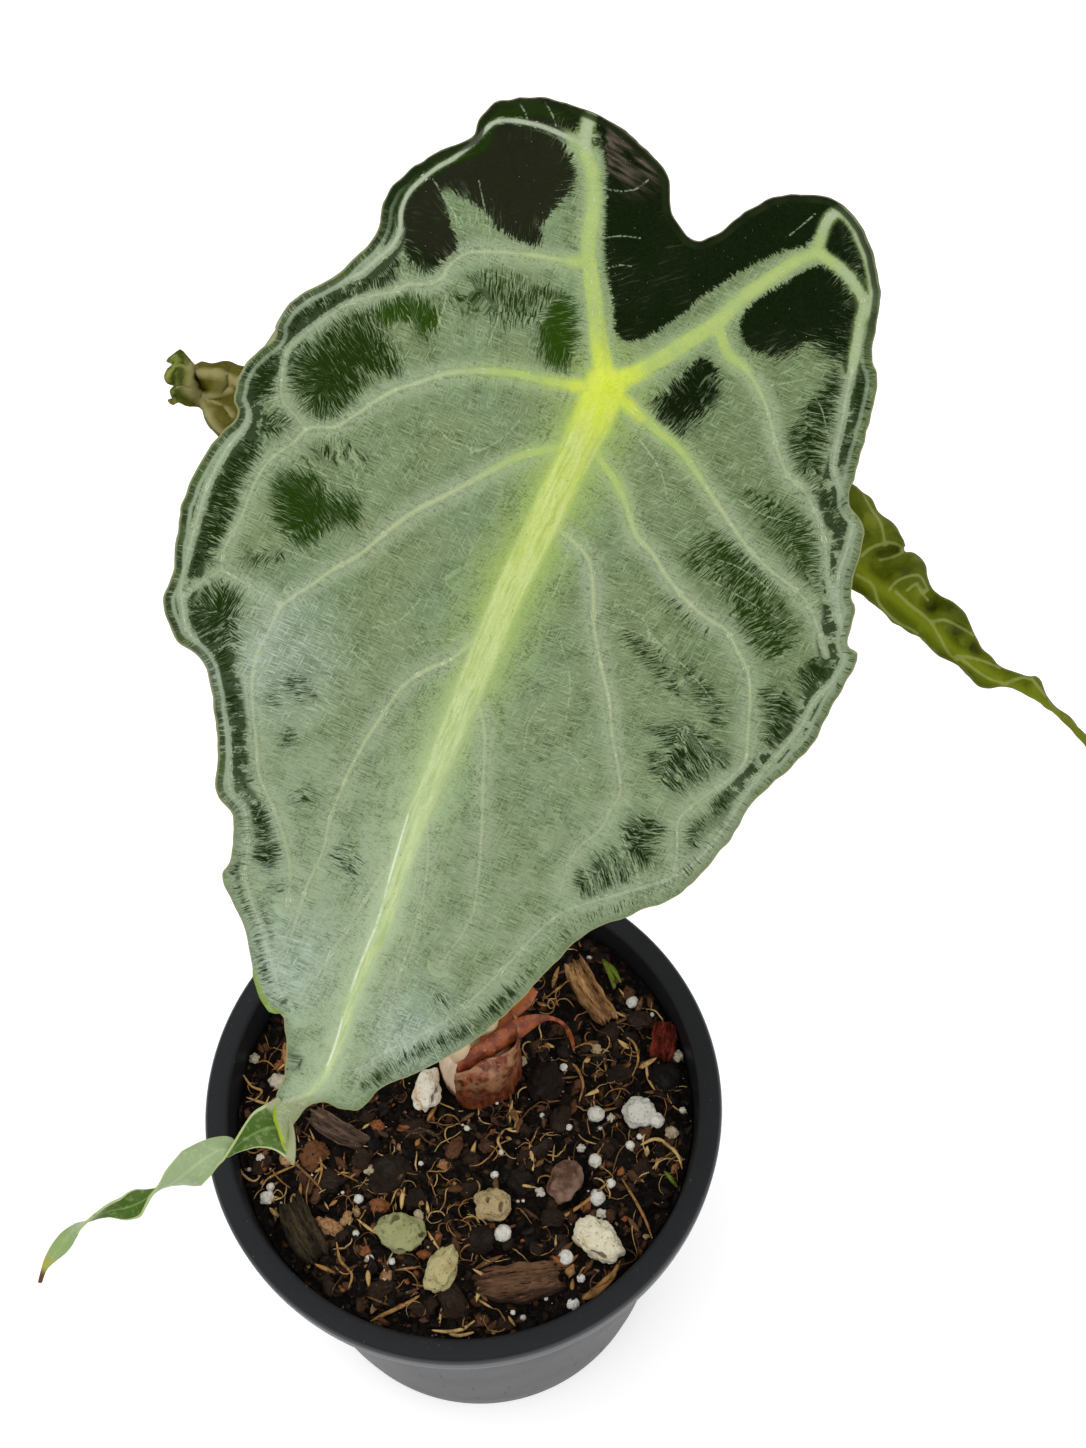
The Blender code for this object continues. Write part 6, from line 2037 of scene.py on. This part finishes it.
class ALOCASIA_OT_crumbs(bpy.types.Operator):
    """Scatter loose crumbs and lumps of bark on the soil"""

    bl_idname = "alocasia.crumbs"
    bl_label = "Bark crumbs"

    def execute(self, context):
        settings = context.scene.alocasia.soil
        finish = crumb_finish()
        draw = random.Random(5)
        dark, brown = 0.66, 0.92
        points, faces = ball(2)
        small = Heap("bark_crumbs")
        for spot in free_spots(draw, settings.crumbs, 1.5 * MM):
            length = 1.1 + 3.4 * draw.random() ** 2.2
            size = (length * MM, length * draw.uniform(0.3, 0.85) * MM, length * draw.uniform(0.2, 0.5) * MM)
            middle = resting(*spot, 0.22 * size[2])
            placed, _ = stone_points(size, 0, Vector(), draw.uniform(0, 50), 0.75, points, 0.22)
            spin = Euler((draw.uniform(-0.6, 0.6), draw.uniform(-0.6, 0.6), draw.uniform(0, 6.3)))
            pick = draw.random()
            tone = draw.uniform(0.0, 0.26) if pick < dark else draw.uniform(0.28, 0.64)
            if pick > brown:
                tone = draw.uniform(0.66, 0.95)
            small.put([spin.to_matrix() @ p + middle for p in placed], faces, tone)
        small.place(finish, "bark_mix")
        points, faces = ball(4)
        large = Heap("bark_lumps")
        for number, (x, y, length, width, height, turn, tone) in enumerate(LUMPS):
            size = (length * MM, width * MM, height * MM)
            middle = landed(x, y, 0.10 * height * MM)
            placed, _ = stone_points(size, math.radians(turn), middle, number + 30, 0.34, points, 0.17)
            large.put(placed, faces, tone)
        large.place(finish, "bark")
        return {"FINISHED"}


class ALOCASIA_OT_fibres(bpy.types.Operator):
    """Scatter curled roots, fibres and flat splinters on the soil"""

    bl_idname = "alocasia.fibres"
    bl_label = "Fibres and splinters"

    def execute(self, context):
        settings = context.scene.alocasia.soil
        finish = fibre_finish()
        draw = random.Random(17)
        fibres = Heap("fibres")
        tones = (0.35, 0.55, 0.7, 0.8, 0.86, 0.92)
        edge = pot_inside(SOIL_TOP) - 1.0 * MM
        for spot in free_spots(draw, settings.fibres, 3 * MM):
            heading = draw.uniform(0, 6.3)
            bend = draw.uniform(-0.55, 0.55)
            stride = draw.uniform(0.6, 1.3) * MM
            knots = []
            x, y = spot
            for i in range(draw.randint(6, 12)):
                if math.hypot(x, y) > edge:
                    break
                arch = math.sin(i * 0.7 + heading) * 0.7 * MM
                knots.append(Vector((x, y, ground(x, y) + 0.5 * MM + max(0, arch))))
                x += stride * math.cos(heading)
                y += stride * math.sin(heading)
                heading += bend + draw.uniform(-0.35, 0.35)
            if len(knots) < 4:
                continue
            line = smooth_line(knots, 0.7 * MM)
            radius = settings.fibre_radius * draw.uniform(0.4, 1.4)
            fibres.put(*sweep(line, tapered(line, radius, 0.6, 3), 5), draw.choice(tones))
        fibres.place(finish, "bark_mix")

        roots = Heap("roots")
        for half, tone, *spots in STRANDS:
            knots = [landed(x, y, (0.8 + 0.5 * (i % 2)) * MM) for i, (x, y) in enumerate(spots)]
            line = smooth_line(knots, 0.5 * MM)
            smooth = tapered(line, half * MM, 0.75, 2.5)
            radii = [radius * (1 + 0.25 * noise.noise(p * 900)) for radius, p in zip(smooth, line)]
            roots.put(*sweep(line, radii, 8, 0.6), tone)
        roots.place(finish, "bark_mix")

        splinters = Heap("splinters")
        tones = (0.3, 0.45, 0.6, 0.76, 0.86, 0.94)
        limit = pot_inside(SOIL_TOP) - 1.2 * MM
        for spot in free_spots(draw, settings.splinters, 3.5 * MM):
            length = (1.6 + 6.0 * draw.random() ** 1.6) * MM
            half = draw.uniform(0.22, 0.75) * MM
            heading = draw.uniform(0, 6.3)
            tilt = draw.uniform(-0.35, 0.35)
            knots = []
            for t in (-0.5, -0.2, 0.1, 0.5):
                x = spot.x + length * t * math.cos(heading) + 0.1 * length * t * t
                y = spot.y + length * t * math.sin(heading)
                reach = math.hypot(x, y)
                if reach > limit:
                    x, y = x * limit / reach, y * limit / reach
                knots.append(Vector((x, y, ground(spot.x, spot.y) + 0.7 * MM + length * t * tilt)))
            line = smooth_line(knots, 0.8 * MM)
            last = max(1, len(line) - 1)
            radii = [half * (1.02 - abs(2 * i / last - 1) ** 2) for i in range(len(line))]
            splinters.put(*sweep(line, radii, 6, 0.35), draw.choice(tones))
        splinters.place(finish, "bark_mix")
        return {"FINISHED"}


class ALOCASIA_OT_beads(bpy.types.Operator):
    """Scatter white beads of perlite on the soil"""

    bl_idname = "alocasia.beads"
    bl_label = "Perlite beads"

    def execute(self, context):
        settings = context.scene.alocasia.soil
        draw = random.Random(23)
        beads = Heap("perlite_beads")
        points, faces = ball(4)
        for number, (x, y, radius, tone) in enumerate(BEADS):
            rough = 0.16 if tone > 0.7 else 0.45
            size = (2 * radius * MM, 1.9 * radius * MM, 1.8 * radius * MM)
            middle = landed(x, y, 0.7 * radius * MM)
            placed, _ = stone_points(size, number, middle, number + 3, rough, points, 0.04)
            beads.put(placed, faces, tone)
        points, faces = ball(2)
        for spot in free_spots(draw, settings.beads, 1.5 * MM):
            radius = 0.16 + 0.5 * draw.random() ** 3
            size = (2 * radius * MM, 1.7 * radius * MM, 1.5 * radius * MM)
            middle = resting(*spot, (0.4 + radius * 0.6) * MM)
            placed, _ = stone_points(size, 0, middle, draw.uniform(0, 50), 0.5, points, 0.1)
            beads.put(placed, faces, draw.uniform(0.3, 1.0))
        beads.place(bead_finish(), "pumice")
        return {"FINISHED"}


class ALOCASIA_OT_stones(bpy.types.Operator):
    """Set the six pumice stones and the pebble in the soil"""

    bl_idname = "alocasia.stones"
    bl_label = "Stones"

    def execute(self, context):
        looks = {
            "pumice_1": (srgb(234, 226, 208), srgb(214, 176, 124)),
            "pumice_2": (srgb(204, 202, 192), srgb(164, 150, 122)),
            "pumice_3": (srgb(222, 214, 186), srgb(192, 164, 112)),
            "pumice_4": (srgb(158, 158, 112), srgb(122, 122, 70)),
            "pumice_5": (srgb(186, 174, 126), srgb(146, 126, 76)),
            "pumice_6": (srgb(176, 156, 116), srgb(120, 88, 52)),
        }
        points, faces = ball(6)
        for number, (name, spot, length, width, height, turn) in enumerate(STONES):
            flat = on_level(*spot, SOIL_TOP)
            middle = Vector((flat.x, flat.y, SOIL_TOP + (1.5 + 0.12 * height) * MM))
            size = (length * MM, width * MM, height * MM)
            smooth = name == "pebble"
            placed, hollows = stone_points(
                size, math.radians(turn), middle, number + 1, 0.34, points,
                0.02 if smooth else 0.045, 0.0 if smooth else 0.10,
            )
            mesh = smooth_mesh(name, placed, faces, hollow=hollows)
            finish = pebble_finish() if smooth else pumice_finish(name, *looks[name])
            place_piece(f"visual_{name}", mesh, [finish], name)
        return {"FINISHED"}


class ALOCASIA_OT_bark(bpy.types.Operator):
    """Lay the five large bark chips on the soil"""

    bl_idname = "alocasia.bark"
    bl_label = "Bark chips"

    def execute(self, context):
        looks = {
            "bark_1": (srgb(120, 84, 52), srgb(188, 146, 98)),
            "bark_2": (srgb(58, 40, 30), srgb(112, 82, 58)),
            "bark_3": (srgb(34, 28, 20), srgb(66, 55, 38)),
            "bark_4": (srgb(74, 58, 48), srgb(136, 110, 90)),
            "bark_5": (srgb(78, 24, 16), srgb(132, 52, 34)),
        }
        for number, (name, spot, length, width, height, turn) in enumerate(CHIPS):
            flat = on_level(*spot, SOIL_TOP)
            middle = Vector((flat.x, flat.y, SOIL_TOP + 0.8 * MM))
            size = (length * MM, width * MM, height * MM)
            mesh = chip_mesh(name, size, math.radians(turn), middle, number + 0.5)
            finish = bark_finish(name, *looks[name], turn)
            place_piece(f"visual_{name}", mesh, [finish], name)
        return {"FINISHED"}


class ALOCASIA_OT_corm(bpy.types.Operator):
    """Set the short corm in the soil"""

    bl_idname = "alocasia.corm"
    bl_label = "Corm"

    def execute(self, context):
        corm = corm_middle()
        height = CORM_TOP - CORM_FOOT
        steps = (
            (0, 0), (0, 0.55), (0.12, 0.85), (0.35, 1.0), (0.6, 1.0), (0.8, 0.95), (0.93, 0.88), (1, 0.8),
        )
        line = smooth_line(steps, 0.02)
        profile = [(CORM_RADIUS * p.y, CORM_FOOT + height * p.x) for p in line]
        profile.append((0.4 * CORM_RADIUS, CORM_TOP - 0.4 * MM))
        profile.append((0, CORM_TOP - 0.8 * MM))
        points, faces = lathe(profile, 128, corm)
        for i, p in enumerate(points):
            angle = math.atan2(p.y - corm.y, p.x - corm.x)
            ridge = noise.fractal(Vector((*round_middle(5, angle), p.z * 60)), 0.8, 2, 3)
            out = Vector((p.x - corm.x, p.y - corm.y, 0))
            points[i] = p + out * 0.05 * ridge
        mesh = mesh_from("corm", points, faces, 60)
        lows = [(v.co.z - SOIL_TOP) / (9 * MM) for v in mesh.vertices]
        store(mesh, "low", lows)
        place_piece("visual_corm", mesh, [corm_finish()], "corm")
        return {"FINISHED"}


class ALOCASIA_OT_sheath(bpy.types.Operator):
    """Wrap the dry sheath round the corm, with its curled arm"""

    bl_idname = "alocasia.sheath"
    bl_label = "Dry sheath"

    def execute(self, context):
        corm = corm_middle()
        finish = sheath_finish()
        columns = 90
        rows = 48
        points = [
            sheath_point(corm, i / columns, j / rows) for i in range(columns + 1) for j in range(rows + 1)
        ]
        tones = [j / rows * 0.5 for i in range(columns + 1) for j in range(rows + 1)]
        faces = [[a, d, c, b] for a, b, c, d in grid(columns, rows)]
        mesh = smooth_mesh("dry_sheath", points, faces, tone=tones)
        sheath = place_piece("visual_sheath", mesh, [finish], "dry_sheath")
        thicken(sheath, 0.5 * MM, offset=0)
        arm = Heap("sheath_arm")
        for rows, tone in ((SHEATH_ARM, 0.9), (SHEATH_TONGUE, 1.0)):
            stations = smooth_line(rows, 1.5)
            line = [on_level(x, y, SOIL_TOP + height * MM) for x, y, height, _ in stations]
            radii = [s[3] * MM * (1 + 0.16 * noise.noise(p * 300)) for s, p in zip(stations, line)]
            arm.put(*sweep(line, radii, 28, 0.42), tone)
        arm.place(finish, "dry_sheath")
        return {"FINISHED"}


class ALOCASIA_OT_stalks(bpy.types.Operator):
    """Raise the three leaf stalks from the corm"""

    bl_idname = "alocasia.stalks"
    bl_label = "Leaf stalks"

    def execute(self, context):
        finish = stalk_finish()
        add_stalk("main_petiole", MainBlade(), MAIN_STALK, 2.27, finish)
        add_stalk("left_petiole", LeftBlade(), LEFT_STALK, 3.76, finish, to_eye=True)
        add_stalk("right_petiole", RightBlade(), RIGHT_STALK, 0.78, finish)
        return {"FINISHED"}


class ALOCASIA_OT_main_leaf(bpy.types.Operator):
    """Shape the silver main leaf and its twisted tail"""

    bl_idname = "alocasia.main_leaf"
    bl_label = "Main leaf"

    def execute(self, context):
        settings = context.scene.alocasia.leaf
        under = under_finish("leaf_under", srgb(146, 162, 122), srgb(172, 186, 112))
        finishes = [silver_finish(settings), under]
        MainBlade().build("visual_main_leaf", finishes, "main_leaf", "leaf_silver")
        tail_piece()
        return {"FINISHED"}


class ALOCASIA_OT_left_leaf(bpy.types.Operator):
    """Shape the olive left leaf"""

    bl_idname = "alocasia.left_leaf"
    bl_label = "Left leaf"

    def execute(self, context):
        settings = context.scene.alocasia.leaf
        back = under_finish("leaf_olive_back", srgb(96, 112, 70), srgb(142, 154, 92))
        finishes = [olive_finish(settings), back]
        LeftBlade().build("visual_left_leaf", finishes, "left_leaf", "leaf_olive", to_eye=True)
        return {"FINISHED"}


class ALOCASIA_OT_right_leaf(bpy.types.Operator):
    """Shape the bright right leaf"""

    bl_idname = "alocasia.right_leaf"
    bl_label = "Right leaf"

    def execute(self, context):
        settings = context.scene.alocasia.leaf
        back = under_finish("leaf_bright_back", srgb(120, 140, 62), srgb(156, 172, 92))
        finishes = [bright_finish(settings), back]
        RightBlade().build("visual_right_leaf", finishes, "right_leaf", "leaf_bright")
        return {"FINISHED"}


class ALOCASIA_OT_stage(bpy.types.Operator):
    """Lay the floor, hang the soft lights and set the camera"""

    bl_idname = "alocasia.stage"
    bl_label = "Stage"

    def execute(self, context):
        settings = context.scene.alocasia.stage
        half = 3.0
        corners = ((-half, -half), (half, -half), (half, half), (-half, half))
        mesh = mesh_from("floor", [Vector((x, y, 0)) for x, y in corners], [[0, 1, 2, 3]])
        floor = bpy.data.objects.new("floor", mesh)
        floor.location.z = -0.0001
        context.scene.collection.objects.link(floor)
        mesh.materials.append(floor_finish(settings).material)
        for name, place, size, power in (
            ("key", (-0.50, 0.0, 1.35), 1.7, settings.key),
            ("fill", (0.75, -0.40, 1.0), 1.2, settings.key * 0.4),
        ):
            lamp = bpy.data.lights.new(name, "AREA")
            lamp.size = size
            lamp.energy = power
            light = bpy.data.objects.new(name, lamp)
            light.location = place
            aim = Vector((0, 0, 0.2)) - Vector(place)
            light.rotation_euler = aim.to_track_quat("-Z", "Y").to_euler()
            context.scene.collection.objects.link(light)
        world = bpy.data.worlds.new("studio")
        world.use_nodes = True
        sky = world.node_tree.nodes["Background"]
        sky.inputs["Color"].default_value = (1, 1, 1, 1)
        sky.inputs["Strength"].default_value = settings.sky
        context.scene.world = world
        lens = bpy.data.cameras.new("camera")
        lens.sensor_width = 36
        lens.lens = SHEET_DISTANCE * lens.sensor_width / SHEET_HEIGHT
        lens.clip_start = 0.01
        camera = bpy.data.objects.new("camera", lens)
        camera.matrix_world = Matrix((*zip(RIGHT, UP, -FORWARD, EYE), (0, 0, 0, 1)))
        context.scene.collection.objects.link(camera)
        context.scene.camera = camera
        context.scene.view_settings.view_transform = "Standard"
        return {"FINISHED"}


class ALOCASIA_PT_panel(bpy.types.Panel):
    """Lists the pieces of the potted alocasia and their settings"""

    bl_idname = "ALOCASIA_PT_panel"
    bl_label = "Potted alocasia"
    bl_space_type = "VIEW_3D"
    bl_region_type = "UI"
    bl_category = "Alocasia"

    def draw(self, context):
        for operator in OPERATORS:
            self.layout.operator(operator.bl_idname)
        for group in ("pot", "soil", "leaf", "stage"):
            box = self.layout.box()
            settings = getattr(context.scene.alocasia, group)
            for name in type(settings).__annotations__:
                box.prop(settings, name)


OPERATORS = (
    ALOCASIA_OT_pot, ALOCASIA_OT_soil, ALOCASIA_OT_crumbs, ALOCASIA_OT_fibres, ALOCASIA_OT_beads,
    ALOCASIA_OT_stones, ALOCASIA_OT_bark, ALOCASIA_OT_corm, ALOCASIA_OT_sheath, ALOCASIA_OT_stalks,
    ALOCASIA_OT_main_leaf, ALOCASIA_OT_left_leaf, ALOCASIA_OT_right_leaf, ALOCASIA_OT_stage,
)
SETTINGS = (PotSettings, SoilSettings, LeafSettings, StageSettings, PlantSettings)
CLASSES = (*SETTINGS, *OPERATORS, ALOCASIA_PT_panel)


def register():
    """Makes the settings, the operators and the panel known to Blender."""
    for kind in CLASSES:
        bpy.utils.register_class(kind)
    bpy.types.Scene.alocasia = PointerProperty(type=PlantSettings, name="Potted alocasia")


def unregister():
    """Takes them away again."""
    del bpy.types.Scene.alocasia
    for kind in reversed(CLASSES):
        bpy.utils.unregister_class(kind)


def main():
    """Builds every piece in order."""
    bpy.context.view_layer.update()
    register()
    for operator in OPERATORS:
        group, _, name = operator.bl_idname.partition(".")
        getattr(getattr(bpy.ops, group), name)()


if __name__ == "__main__":
    main()
